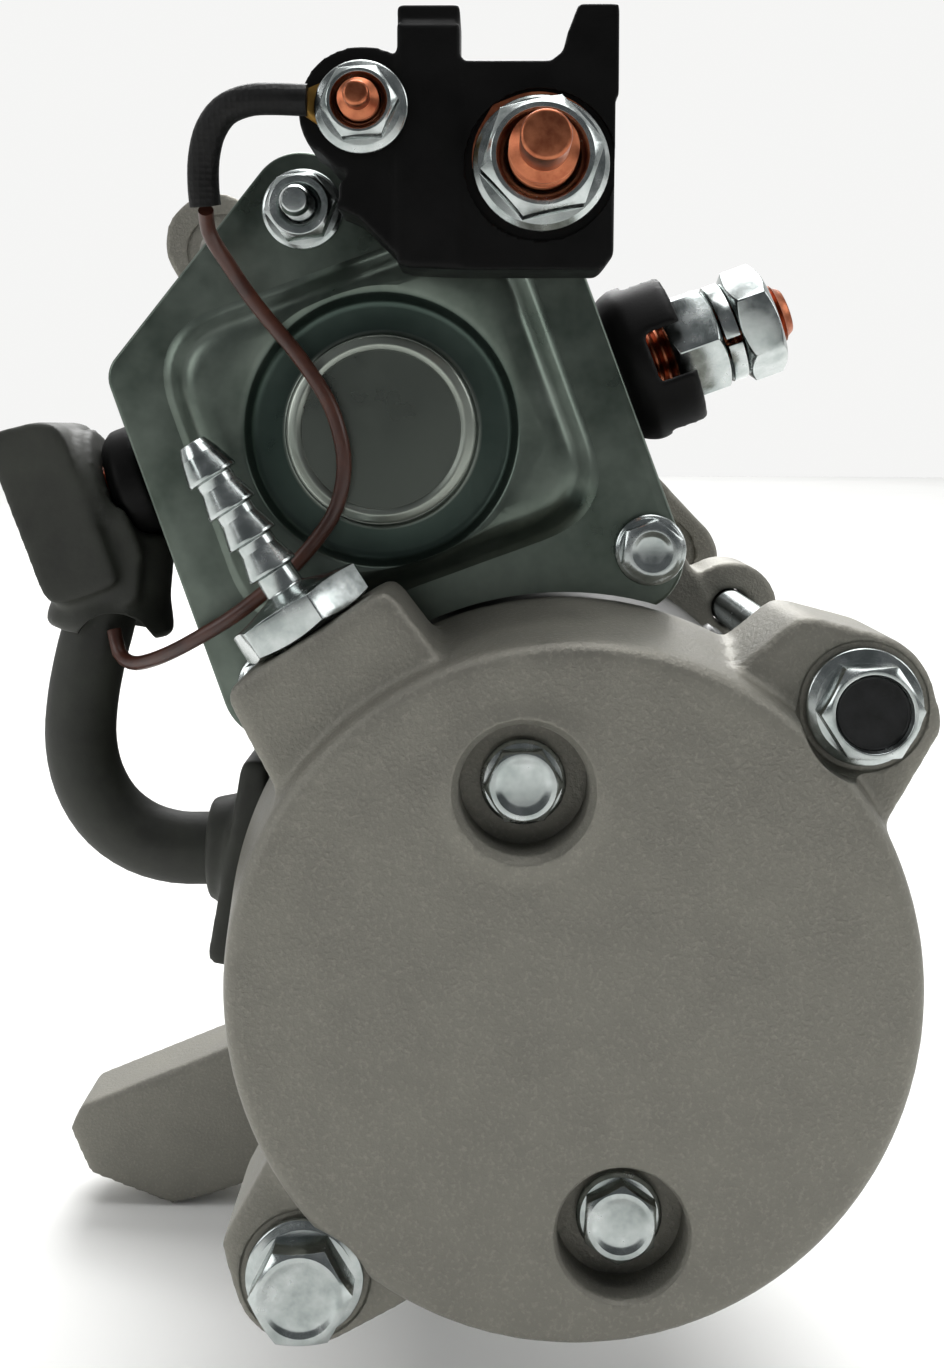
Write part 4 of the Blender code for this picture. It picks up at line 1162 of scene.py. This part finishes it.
class GearTrain:
    """The pinion and the clutch sleeve, which show at the nose."""

    def pinion(self) -> None:
        """Model the drive pinion on its sliding shaft, with chamfered teeth."""
        shaft = Bench.lathe("shaft", fillet([
            (0, -50), (13.2, -50), (13.2, -46), (9.3, -46), (9.3, 24), (12.2, 25.5, 0.8),
            (12.2, 51, 0.8), (8, 52, 0.4), (7.2, 50.6), (0, 50.6),
        ], 4, False), PINION_AXIS, 64)
        teeth = Bench.plate("teeth", gear_outline(11, 3.0, 6, 0.1), 27, 49)
        limit = Bench.lathe("limit", fillet([
            (0, 26.9), (17.6, 26.9), (19.9, 28.4), (19.9, 46.6), (15.6, 49.1), (0, 49.1),
        ], 3, False), PINION_AXIS, 96)
        Bench.combine(teeth, "INTERSECT", (limit,))
        Bench.join(shaft, teeth)
        Bench.ease(shaft, 0.25, 2, 32)
        shaft.name = "sliding_pinion"
        finished(shaft, GEAR_STEEL, Body.PINION, "drive_pinion")

    def sleeve(self) -> None:
        """Model the clutch sleeve, whose front end shows in the nose."""
        made = Bench.lathe("splined_sleeve", fillet([
            (17, -51.5), (17, -40), (25, -39, 0.8), (25, -22), (20, -20), (20, 6, 0.8), (9.7, 6, 0.6),
            (9.7, -24), (13.6, -24), (13.6, -51.5),
        ]), PINION_AXIS, 80)
        Bench.shade(made, 35)
        finished(made, TURNED_STEEL, Body.CLUTCH, "clutch_sleeve")

    def build(self) -> None:
        """Model the pieces of the train that can be seen."""
        self.pinion()
        self.sleeve()


# ------------------------------------------------------------------ solenoid


def house_outline(shrink: float = 0.0) -> list[Point]:
    """Give the house-shaped outline that the cover and the contact housing share.

    Args:
        shrink: How far inside the cover's edge it runs.

    Returns:
        Its corners in the leaning frame.
    """
    w, b, e = 39.3 - shrink, -42.0 + shrink, 25.5 - shrink * 0.5
    corners = arc((w - 9, b + 9), 9, 270, 360, 14) + arc((w - 5, e - 4), 5, 0, 70, 9)
    corners += arc((0, APEX - shrink), 8.5, 56, 124, 13) + arc((5 - w, e - 4), 5, 110, 180, 9)
    return hull(corners + arc((9 - w, b + 9), 9, 180, 270, 14))


@dataclass
class Solenoid:
    """The solenoid's can, contact housing and pressed end cover, with their fasteners."""

    can_radius: float = 33.0
    can_rear: float = -138.7
    can_front: float = -62.3
    cover_rear: float = -172.0
    cover_front: float = -169.9
    plateau_rear: float = -177.5
    clearance: float = 54.3
    screws: tuple[Point, Point] = ((33.9, -33.0), (-30.6, -32.6))

    def can(self) -> Obj:
        """Model the drawn can with its end core, a bead and a crimped front edge."""
        r, rear, front = self.can_radius, self.can_rear, self.can_front
        shell = Bench.lathe("solenoid_shell", fillet([
            (r - 0.9, rear, 0.5), (r, rear + 1.4, 0.5), (r, rear + 9, 0.8), (r - 1.0, rear + 10.2, 0.8),
            (r - 1.0, rear + 12.4, 0.8), (r, rear + 13.6, 0.8), (r, front - 8, 0.6),
            (r - 0.7, front - 7, 0.5), (r - 0.7, front - 5, 0.5), (r, front - 4, 0.6),
            (r, front - 0.6, 0.4), (r - 0.8, front), (5.8, front), (5.8, -78.7), (11.5, -78.7),
            (11.5, -67), (31, -67), (31, rear),
        ], 4), PINION_AXIS, 112)
        return Bench.shade(shell, 32)

    def cover(self) -> Obj:
        """Model the pressed cover: flange, raised plateau, ring recess, button and short skirt."""
        lean = rear_frame(lean=TILT)
        cover = Bench.plate("pressed_cover", house_outline(), self.cover_rear, self.cover_front, lean)
        skirt = Bench.plate("skirt", house_outline(), self.cover_rear + 1, -167.4, lean)
        Bench.cut(skirt, Bench.plate("inside", house_outline(1.0), -190, -150, lean))
        Bench.ease(cover, 0.55, 4, 50)
        Bench.join(cover, skirt)
        box = fillet([(-31.5, -26, 13), (31.5, -26, 13), (31.5, 28, 13), (-31.5, 28, 13)], 12)
        foot, top = -self.cover_rear, -self.plateau_rear
        plateau = Bench.loft("plateau", box, (31.5, 27.0), [
            (foot - 1.0, 0), (foot + 0.05, 0.3), (foot + 0.35, 1.1), (foot + 0.9, 1.7),
            (top - 2.2, 3.2), (top - 1.1, 3.9), (top - 0.45, 4.7), (top - 0.1, 5.8), (top, 7.4),
        ], lean)
        Bench.join(cover, plateau)
        trough = Bench.lathe("trough", fillet([
            (14.9, -190), (14.9, -178.3), (15.3, -174.5, 0.8), (20.6, -174.5, 1.6), (21.8, -177.0, 0.8),
            (23.6, -177.7), (23.6, -190),
        ], 6), PINION_AXIS, 112)
        Bench.cut(cover, trough)
        rim = Bench.lathe("rim", fillet([
            (12.6, -176.2), (12.6, -177.7, 0.3), (13.5, -178.15, 0.6), (15.0, -177.6, 0.7), (15.0, -175.2),
        ], 6), PINION_AXIS, 112)
        Bench.join(cover, rim)
        cuts = [Bench.rod("pocket", 11, -175.5, -160, steps=32),
                Bench.rod("motor_room", self.clearance, -190, -160, MOTOR_AXIS, 128)]
        for u, v in (*self.screws, (0, APEX - 1)):
            cuts.append(Bench.rod("screw_hole", 3.3, -185, -160, leaning(u, v), 20))
        Bench.drill(cover, *cuts)
        return Bench.shade(cover, 24)

    @staticmethod
    def terminal_frame(side: int, v: float) -> Matrix:
        """Give the frame of a side terminal, with z out along its stud."""
        x, z = leaning(0, v)
        return axis_frame((x, -155.0, z), (math.cos(TILT) * side, 0, math.sin(TILT) * side))

    def crown(self, frame: Matrix) -> Obj:
        """Model the right boss: a collar whose open end stands up in four blocks."""
        boss = Bench.turn("crown", fillet([
            (0, 20), (12.0, 20), (12.0, 40.2, 0.8), (12.7, 41.0, 0.5), (13.5, 43.0, 0.8),
            (13.5, 51.8, 1.1), (10.4, 51.8, 0.6), (10.1, 44.2, 0.5), (0, 44.2),
        ], 5, False), frame, 80)
        for number in range(2):
            turn = math.radians(90 * number)
            slot = [(-20, -4.2), (20, -4.2), (20, 4.2), (-20, 4.2)]
            c, s = math.cos(turn), math.sin(turn)
            slot = [(x * c - y * s, x * s + y * c) for x, y in slot]
            Bench.cut(boss, Bench.slab("notch", fillet([(*p, 0.6) for p in slot]), 45.4, 60, frame))
        return boss

    def housing(self) -> Obj:
        """Model the moulded contact housing with a boss on either side."""
        lean = rear_frame(lean=TILT)
        body = Bench.plate("contact_moulding", house_outline(1.2), -169.6, -139, lean)
        for u in (-1, 1):
            for v in (-22, 19):
                rib = [(u * 20, v - 1), (u * 38.4, v - 1), (u * 38.4, v + 1), (u * 20, v + 1)]
                Bench.join(body, Bench.plate("rib", rib, -168.4, -139.4, lean))
        Bench.join(body, self.crown(self.terminal_frame(1, -4)))
        left = self.terminal_frame(-1, 6)
        Bench.join(body, Bench.turn("collar", fillet([
            (0, 20), (8.6, 20), (8.6, 39.8, 0.5), (10, 41, 0.5), (10, 45, 1), (8.4, 47, 0.6), (0, 47),
        ], 4, False), left, 56))
        Bench.melt(body, 0.62, 3)
        Bench.drill(
            body,
            Bench.rod("motor_room", self.clearance, -190, -130, MOTOR_AXIS, 128),
            Bench.lathe("contact_room", [
                (0, -180), (26.5, -180), (26.5, -143), (12.4, -143), (12.4, -130), (0, -130),
            ], PINION_AXIS, 64),
        )
        bore = [(0, 60), (5.6, 60), (5.6, 15), (0, 15)]
        cuts = [Bench.turn("terminal_bore", bore, self.terminal_frame(side, v), 32)
                for side, v in ((1, -4.0), (-1, 6.0))]
        for u, v in (*self.screws, (0, APEX - 1)):
            cuts.append(Bench.rod("screw_hole", 2.9, -180, -145, leaning(u, v), 20))
        return Bench.drill(body, *cuts)

    def battery_side(self) -> None:
        """Model the hex nuts, the split spring washer and the copper stud on the right."""
        frame = self.terminal_frame(1, -4)
        for place, low, high, turn in (("inner", 49.3, 58.2, 5), ("outer", 61.3, 68.2, 35)):
            nut = Bench.turn(f"terminal_nut_{place}", fillet([
                (5.3, high - 0.6), (5.9, high), (8.1, high), (9.9, high - 1.1), (9.9, low + 1.1),
                (8.1, low), (5.9, low), (5.3, low + 0.6),
            ]), frame, 60)
            Bench.hex_trim(nut, 17, low - 1, high + 1, frame, turn)
            Bench.ease(nut, 0.22, 2, 22)
            finished(nut, BRIGHT_ZINC, Body.HOUSING, f"battery_nut_{place}")
        washer = Bench.turn("spring_washer", [(5.3, 58.5), (8.5, 58.5), (8.5, 61.0), (5.3, 61.0)], frame, 64)
        split = Bench.slab("split", [(0, -0.6), (12, -2.0), (12, -0.8), (0, 0.6)], 58, 62,
                           frame @ Matrix.Rotation(math.radians(200), 4, "Z"))
        Bench.cut(washer, split)
        Bench.ease(washer, 0.3, 2, 40)
        finished(washer, BRIGHT_ZINC, Body.HOUSING)
        for name, side, v, tip in (("battery_terminal", 1, -4, 71.0), ("motor_terminal", -1, 6, 58)):
            stud = self.side_stud(side, v, tip)
            stud.name = f"copper_{name}"
            finished(stud, COPPER, Body.HOUSING, name)

    def side_stud(self, side: int, v: float, tip: float) -> Obj:
        """Model a contact shoe with its threaded stud out through the wall."""
        lean = rear_frame(lean=TILT)
        left, right = sorted((19.6 * side, 22.6 * side))
        leg = [(left, v - 6), (right, v - 6), (right, v + 6), (left, v + 6)]
        shoe = Bench.plate("shoe", fillet([(*p, 0.5) for p in leg]), -160, -143.3, lean)
        left, right = sorted((9.5 * side, 21.5 * side))
        foot = [(left, v - 6), (right, v - 6), (right, v + 6), (left, v + 6)]
        Bench.join(shoe, Bench.plate("foot", fillet([(*p, 0.5) for p in foot]), -145.1, -143.3, lean))
        stud = Bench.turn("stud", fillet([
            (0, tip), (3.7, tip, 0.8), (4.4, tip - 1.2), *threaded(5.0, tip - 1.4, 30, 1.5),
            (5.0, 29.8), (5.0, 21), (0, 21),
        ], 4, False), self.terminal_frame(side, v), 40)
        Bench.join(shoe, stud)
        Bench.cut(shoe, Bench.rod("plunger_room", 12.4, -150, -140, steps=32))
        return Bench.shade(shoe, 40)

    def build(self) -> None:
        """Model the solenoid's outer pieces."""
        finished(self.can(), PAINTED, Body.HOUSING, "solenoid_can")
        finished(self.cover(), COVER_ZINC, Body.HOUSING, "solenoid_cover")
        finished(self.housing(), NYLON, Body.HOUSING, "contact_housing")
        self.battery_side()
        for (u, v), side in zip(self.screws, ("right", "left")):
            spec = FlangeBolt(f"cover_screw_{side}", 9, 5.8, 5, 2.5, 20, 0, 22)
            made = spec.build(rear_frame(leaning(u, v)), 172.3)
            finished(made, BRIGHT_ZINC, Body.HOUSING, f"cover_bolt_{side}")
        apex = rear_frame(leaning(0, APEX - 1))
        finished(Stud("cover_end_stud", 2.5, 2.1, 147, 183.6, 185, 0.8).build(apex),
                 BRIGHT_ZINC, Body.HOUSING, "cover_stud")
        finished(FlangeNut("cover_end_nut", 10, 6.6, 6.5, 2.8, 8).build(apex, 172.3),
                 BRIGHT_ZINC, Body.HOUSING, "cover_nut")


# ------------------------------------------------------------------ terminals and leads


@dataclass
class TerminalBlock:
    """The moulded block with two prongs, and its two copper studs with flange nuts."""

    rear: float = -193.0
    front: float = -177.8
    power: Point = (24.9, 39.6)
    signal: Point = (-1.8, 47.8)

    def moulding(self) -> Obj:
        """Model the block, its prongs, the seat round the small stud and the shelf behind."""
        body = Bench.plate("moulded_block", fillet([
            (13, 23.9, 1), (34, 23.9, 1.6), (35.8, 26, 2), (36.2, 55.3), (3.4, 55.3), (3.4, 52),
            (-4, 38), (-8, 34), (-2.5, 31.8), (5, 24.2),
        ]), self.rear, self.front)
        pieces = [
            Bench.plate("column", fillet([
                (3.4, 24.6), (12.8, 24.6), (12.8, 63.8, 0.8), (3.4, 63.8, 0.8),
            ]), self.rear - 0.3, self.front),
            Bench.plate("prong", fillet([
                (26, 55), (29.6, 50), (36.6, 50), (36.7, 63.8, 0.8), (30.6, 63.8, 0.8), (28.9, 59.4, 1),
                (28.2, 56.6, 1),
            ]), self.rear, self.front),
            Bench.rod("seat", 9.6, self.rear, self.front, self.signal, 56),
            Bench.plate("shelf", [(3.4, 47.2), (35.8, 47.2), (35.8, 55.2), (3.4, 55.2)],
                        self.front - 1, -146),
        ]
        Bench.join(body, *pieces)
        cap = Bench.plate("step", [(2, 60.6), (14, 60.6), (14, 66), (2, 66)], self.rear - 2, self.rear + 0.9)
        Bench.cut(body, cap)
        apex = leaning(0, APEX - 1)
        Bench.cut(body, Bench.rod("nut_room", 7.6, -200, -170, apex, 40))
        Bench.melt(body, 0.5, 2)
        cuts = [
            Bench.lathe("power_hole", [
                (0, -200), (11.4, -200), (11.4, self.rear + 0.8), (5.4, self.rear + 0.8), (5.4, -183),
                (0, -183),
            ], self.power, 64),
            Bench.rod("signal_hole", 3.4, -200, -183, self.signal, 24),
        ]
        for height in (49.5, 52.5):
            groove = [(6, height), (33, height), (33, height + 1), (6, height + 1)]
            cuts.append(Bench.plate("shelf_groove", groove, -150, -140))
        return Bench.drill(body, *cuts)

    def build(self) -> None:
        """Model the block with its studs and nuts."""
        finished(self.moulding(), NYLON, Body.HOUSING, "terminal_block")
        large = Stud("large_copper_stud", 5.0, 3.55, 183.4, 209, 219, 1.5).build(rear_frame(self.power))
        washer = hull(circle((24.6, 40.4), 10.0, 56) + circle((18.4, 47.6), 1.0, 12))
        Bench.join(large, Bench.plate("copper_washer", washer, -193.5, -192.5))
        finished(large, COPPER, Body.HOUSING, "power_stud")
        stud = Stud("small_copper_stud", 3.0, 1.9, 183.4, 202, 206, 1.0)
        finished(stud.build(rear_frame(self.signal)), COPPER, Body.HOUSING, "signal_stud")
        nut = FlangeNut("large_nut", 16, 10.2, 9.5, 5.3, 12)
        finished(nut.build(rear_frame(self.power), 193.7), BRIGHT_ZINC, Body.HOUSING, "power_nut")
        nut = FlangeNut("small_nut", 10, 7.0, 6.0, 3.3, 4)
        finished(nut.build(rear_frame(self.signal), 194.6), BRIGHT_ZINC, Body.HOUSING, "signal_nut")


def smooth_route(points: tuple[Point, ...], step: float) -> list[Vector]:
    """Give points about a step apart on a smooth curve through the given ones.

    Args:
        points: Points (x, y, z) in millimetres.
        step: Spacing in millimetres.

    Returns:
        The points, in millimetres.
    """
    knots = [Vector(p) for p in points]
    knots = [2 * knots[0] - knots[1], *knots, 2 * knots[-1] - knots[-2]]
    dense: list[Vector] = []
    for a, b, c, d in zip(knots, knots[1:], knots[2:], knots[3:]):
        for t in (i / 24 for i in range(24)):
            turn = (2 * b + (c - a) * t + (2 * a - 5 * b + 4 * c - d) * t**2
                    + (3 * b - a - 3 * c + d) * t**3)
            dense.append(turn * 0.5)
    dense.append(knots[-2])
    along = [0.0]
    for a, b in zip(dense, dense[1:]):
        along.append(along[-1] + (b - a).length)
    count = max(round(along[-1] / step), 2)
    route: list[Vector] = []
    here = 0
    for i in range(count + 1):
        wanted = along[-1] * i / count
        while here < len(along) - 2 and along[here + 1] < wanted:
            here += 1
        share = (wanted - along[here]) / max(along[here + 1] - along[here], 1e-9)
        route.append(dense[here].lerp(dense[here + 1], min(share, 1.0)))
    return route


def run_length(route: list[Vector]) -> float:
    """Give the length of a route in millimetres."""
    return sum((b - a).length for a, b in zip(route, route[1:]))


def drawn_round(name: str, route: list[Vector], radius: float, sides: int = 6) -> Obj:
    """Draw a round lead as a curve of one open spline.

    Args:
        name: The object's name.
        route: Its centreline, in millimetres.
        radius: Its radius in millimetres.
        sides: How round its section is.

    Returns:
        The curve object.
    """
    bpy.ops.object.select_all(action="DESELECT")
    bpy.ops.curve.primitive_nurbs_path_add()
    drawn = bpy.context.object
    drawn.name = name
    curve = drawn.data
    curve.splines.clear()
    spline = curve.splines.new("POLY")
    spline.points.add(len(route) - 1)
    for slot, point in zip(spline.points, route):
        slot.co = (*(point * MM), 1)
    spline.use_smooth = True
    curve.bevel_depth = radius * MM
    curve.bevel_resolution = sides
    curve.use_fill_caps = True
    return drawn


@dataclass
class SignalLead:
    """The ring terminal, its black sleeve and the thin brown wire that goes into the boot."""

    stud: Point = (-1.8, 47.8)
    diameter: float = 2.4
    sleeve: tuple[Point, ...] = (
        (-9.8, -195.1, 48.8), (-15.6, -195.0, 49.0), (-19.0, -194.4, 48.8), (-22.4, -193.0, 47.6),
        (-24.8, -191.4, 44.8), (-26.0, -189.8, 41.0), (-26.2, -189.0, 37.0), (-26.0, -188.4, 34.0),
    )
    route: tuple[Point, ...] = (
        (-26.0, -188.0, 33.4), (-26.0, -184.5, 30.2), (-23.4, -182.0, 25.6), (-20.4, -180.8, 21.0),
        (-17.2, -180.2, 16.9), (-13.6, -180.0, 12.6), (-10.4, -180.0, 8.2), (-8.0, -180.0, 4.2),
        (-6.5, -180.0, 0.0), (-5.7, -179.9, -4.2), (-5.9, -179.7, -8.6), (-7.4, -179.5, -13.4),
        (-10.4, -179.5, -17.8), (-14.2, -179.4, -22.0), (-18.7, -179.2, -26.0), (-23.4, -178.8, -29.6),
        (-28.6, -177.2, -32.8), (-33.6, -174.0, -35.6), (-38.0, -170.0, -37.6), (-41.8, -166.0, -38.6),
        (-44.6, -163.0, -37.4), (-45.8, -161.8, -33.6),
    )

    def tag(self) -> Obj:
        """Model the ring terminal with its crimped barrel."""
        plate = hull(circle(self.stud, 5.8, 48) + [(-11, 50.2), (-11, 47.2)])
        tag = Bench.plate("ring_tag", plate, -194.3, -193.3)
        barrel = Bench.turn("barrel", fillet([
            (0, -0.4), (1.7, -0.4, 0.3), (1.7, 1.6, 0.4), (1.35, 2.0, 0.2), (1.35, 3.4, 0.2),
            (1.7, 3.9, 0.4), (1.7, 5.2, 0.2), (0, 5.2),
        ], 3, False), axis_frame((-10.2, -195.1, 48.8), (-5, 0.1, 0.2)), 28)
        Bench.join(tag, barrel)
        Bench.cut(tag, Bench.rod("tag_hole", 3.4, -200, -190, self.stud, 40))
        return Bench.ease(tag, 0.12, 2, 40)

    def build(self) -> None:
        tag = finished(self.tag(), BRASS, Body.HOUSING, "ring_terminal")
        sleeve = drawn_round("braided_sleeve", smooth_route(self.sleeve, 1.2), 2.4, 8)
        finished(sleeve, SLEEVE, Body.HOUSING, "wire_sleeve")
        route = smooth_route(self.route, 2.0)
        wire = drawn_round("thin_brown_wire", route, self.diameter / 2, 6)
        finished(wire, BROWN_PVC, Body.HOUSING, "relay_wire")
        LOG.info("thin wire: %.0f mm, from %s by way of %s", run_length(route), tag.name, sleeve.name)


@dataclass
class MotorLead:
    """The thick motor lead and the soft boot over the left terminal."""

    diameter: float = 12.0
    mouth: Point = (-47.8, -155.2, -32.6)
    down: Point = (-0.12, 0.0, -0.99)
    route: tuple[Point, ...] = (
        (-48.3, -155.0, -22.0), (-48.6, -155.0, -26.0), (-49.5, -155.2, -32.0), (-51.2, -155.6, -39.0),
        (-52.4, -156.0, -46.0), (-52.6, -156.6, -53.0), (-51.0, -157.2, -59.6), (-47.4, -157.8, -65.2),
        (-42.2, -158.2, -69.0), (-36.2, -158.4, -70.8), (-30.0, -158.4, -71.0), (-19.8, -158.4, -71.0),
    )

    def boot(self) -> Obj:
        """Model the boot: a hood over the stud, a neck to the housing and a flared spout."""
        lean = rear_frame(lean=TILT)
        hood = Bench.plate("rubber_boot", fillet([
            (-62.4, -9, 4), (-49.7, -9, 2), (-50.2, 20.6, 5), (-62.9, 21.9, 2.5)]), -167.4, -143.1, lean)
        spout = Bench.turn("spout", fillet([
            (0, 1.9), (9.9, 1.9, 0.6), (10.9, 0.6, 0.6), (10.5, -1.4, 1.0), (9.6, -5, 2), (9.2, -16),
            (0, -16),
        ], 5, False), axis_frame(self.mouth, self.down), 64)
        cheek = Bench.plate("cheek", fillet([
            (-57.4, -24.5, 3), (-56.4, -29, 2), (-41.0, -29, 2), (-40.4, -20, 5), (-44.4, -11, 5),
            (-52, -10, 3),
        ]), -165.2, -145.2)
        neck = Bench.turn("neck", [(0, 52), (12.2, 52), (11.6, 47.6), (0, 47.6)],
                          Solenoid.terminal_frame(-1, 6), 48)
        Bench.join(hood, spout, cheek, neck)
        Bench.melt(hood, 0.75, 7)
        room = Bench.plate("room", fillet([
            (-61, -7, 2), (-51.4, -7, 2), (-51.4, 20, 2), (-61, 20, 2)]), -165.5, -145, lean)
        throat = Bench.turn("throat", [
            (0, 6), (9.4, 6), (9.2, 1.2), (8.9, -0.4), (7.6, -6), (7.2, -14), (0, -14),
        ], axis_frame(self.mouth, self.down), 48)
        boss = Bench.turn("boss_room", [(0, 47.4), (10.5, 47.4), (10.5, 20), (0, 20)],
                          Solenoid.terminal_frame(-1, 6), 48)
        hole = Bench.turn("stud_hole", [(0, 56), (6.2, 56), (6.2, 40), (0, 40)],
                          Solenoid.terminal_frame(-1, 6), 32)
        arch = Bench.rod("arch", 6.5, -170, -158, (-45.5, -37.0), 40)
        return Bench.cut(hood, room, throat, boss, hole, arch)

    def build(self) -> None:
        finished(self.boot(), RUBBER, Body.HOUSING, "terminal_boot")
        route = smooth_route(self.route, 2.0)
        lead = drawn_round("thick_motor_lead", route, self.diameter / 2, 12)
        finished(lead, RUBBER, Body.HOUSING, "motor_lead")
        LOG.info("motor lead: %.0f mm", run_length(route))


@dataclass
class CoilSpring:
    """A compression spring on the pinion's axis."""

    node: str
    joint: str
    radius: float
    rear: float
    front: float
    turns: float
    travel: float = 13.0
    wire: float = 0.8

    def build(self) -> None:
        """Model the coil."""
        steps = int(self.turns * 24)
        length = self.front - self.rear
        route = []
        for i in range(steps + 1):
            turn = 2 * math.pi * self.turns * i / steps
            depth = self.rear + self.wire + (length - 2 * self.wire) * i / steps
            route.append(Vector((PINION_AXIS[0] + self.radius * math.cos(turn), depth,
                                 PINION_AXIS[1] + self.radius * math.sin(turn))))
        coil = drawn_round(f"{self.node}_coil", route, self.wire, 2)
        bpy.ops.object.convert(target="MESH")
        finished(coil, SPRING_WIRE, Body.HOUSING, self.node)
        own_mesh(coil)


# ------------------------------------------------------------------ kept CAD pieces


@dataclass
class Internals:
    """Finishes for the inner CAD pieces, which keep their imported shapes."""

    finishes: dict[str, Finish] = field(default_factory=lambda: {
        "armature_core": GEAR_STEEL, "armature_shaft": TURNED_STEEL, "brush_": CARBON,
        "brush_plate": BRASS, "bearing": TURNED_STEEL, "gear": GEAR_STEEL, "commutator": COPPER,
        "contact_disc": COPPER, "winding": COPPER, "coil": COPPER, "spring": SPRING_WIRE,
        "pole_core": PAINTED, "plunger": TURNED_STEEL, "pin": TURNED_STEEL, "screw": BRIGHT_ZINC,
    })

    def build(self) -> None:
        """Give each CAD node that is still shown the finish that its name calls for."""
        for name, node in frame["nodes"].items():
            obj = node if isinstance(node, bpy.types.Object) else bpy.data.objects[name]
            if obj.hide_render:
                continue
            keys = [key for key in self.finishes if key in name]
            finish = self.finishes[max(keys, key=len)] if keys else TURNED_STEEL
            for slot in obj.material_slots:
                slot.material = finish.build()
            LOG.info("%s: %s", name, finish.name)


# ------------------------------------------------------------------ studio


@dataclass
class Studio:
    """A pale floor, large soft lights and a camera square on behind the motor."""

    floor_height: float = -0.1765
    camera: Point = (0.0173, -0.445, 0.0)
    lens: float = 44.4
    shift: Point = (-0.0132, -0.186)

    def floor(self) -> None:
        """Lay a wide pale floor with a turned-down edge."""
        bpy.ops.object.select_all(action="DESELECT")
        bpy.ops.mesh.primitive_circle_add(
            vertices=96, radius=6.0, fill_type="NGON", location=(0, 0, self.floor_height))
        floor = bpy.context.object
        floor.name = "floor"
        bpy.ops.object.mode_set(mode="EDIT")
        bpy.ops.mesh.select_all(action="SELECT")
        bpy.ops.mesh.extrude_region_move(TRANSFORM_OT_translate={"value": (0, 0, -0.02)})
        Bench.close_up()
        floor.data.materials.append(FLOOR_PAINT.build())

    def light(self, name: str, place: Point, size: float, power: float, aim: Point) -> None:
        """Hang a square soft light that faces a point."""
        bpy.ops.object.light_add(type="AREA", location=place)
        lamp = bpy.context.object
        lamp.name = name
        lamp.data.size = size
        lamp.data.energy = power
        towards = Vector(aim) - Vector(place)
        lamp.rotation_euler = towards.to_track_quat("-Z", "Y").to_euler()

    def build(self) -> None:
        """Set up the world, the floor, the lights and the camera."""
        world = bpy.data.worlds.new("pale_room")
        world.use_nodes = True
        tree = world.node_tree
        towards = add_node(tree, "ShaderNodeTexCoord").outputs["Generated"]
        depth = add_node(tree, "ShaderNodeSeparateXYZ", {0: towards}).outputs["Y"]
        share = add_node(tree, "ShaderNodeMapRange", {0: depth, "From Min": -0.3, "From Max": 0.85})
        blend = add_node(
            tree, "ShaderNodeMix", {0: share.outputs[0], 6: linear("#66686a"), 7: linear("#fbfbfa")},
            data_type="RGBA",
        )
        tree.links.new(blend.outputs[2], tree.nodes["Background"].inputs[0])
        tree.nodes["Background"].inputs[1].default_value = 0.95
        bpy.context.scene.world = world
        self.floor()
        middle = (0.01, -0.15, -0.04)
        self.light("back_softbox", (0.0, 1.5, 1.7), 1.6, 48, (0.0, 0.8, self.floor_height))
        self.light("far_softbox", (0.0, 5.0, 3.0), 3.0, 120, (0.0, 3.0, self.floor_height))
        self.light("overhead_softbox", (0.1, -0.25, 1.1), 0.8, 8, middle)
        self.light("left_softbox", (-1.1, -0.7, 0.4), 0.6, 3.2, middle)
        self.light("right_softbox", (1.0, -0.4, 0.5), 0.5, 2.4, middle)
        bpy.ops.object.camera_add(location=self.camera, rotation=(math.pi / 2, 0, 0))
        camera = bpy.context.object
        camera.name = "camera"
        camera.data.lens = self.lens
        camera.data.shift_x, camera.data.shift_y = self.shift
        camera.data.clip_start = 0.01
        bpy.context.scene.camera = camera
        bpy.context.scene.view_settings.view_transform = "Standard"


def main() -> None:
    """Build the studio and the starter motor."""
    logging.basicConfig(level=logging.INFO, format="%(message)s")
    Studio().build()
    SignalLead().build()
    MotorLead().build()
    rear_end = RearEnd()
    rear_end.build()
    MotorCase().build()
    GearCase().build(rear_end.bolts)
    GearTrain().build()
    Solenoid().build()
    TerminalBlock().build()
    CoilSpring("pinion_return_spring", "pinion_slide", 11.4, -45.7, -24.3, 4.5).build()
    CoilSpring("plunger_spring", "plunger_slide", 7.6, -103.7, -79.0, 6).build()
    Internals().build()


if __name__ == "__main__":
    main()
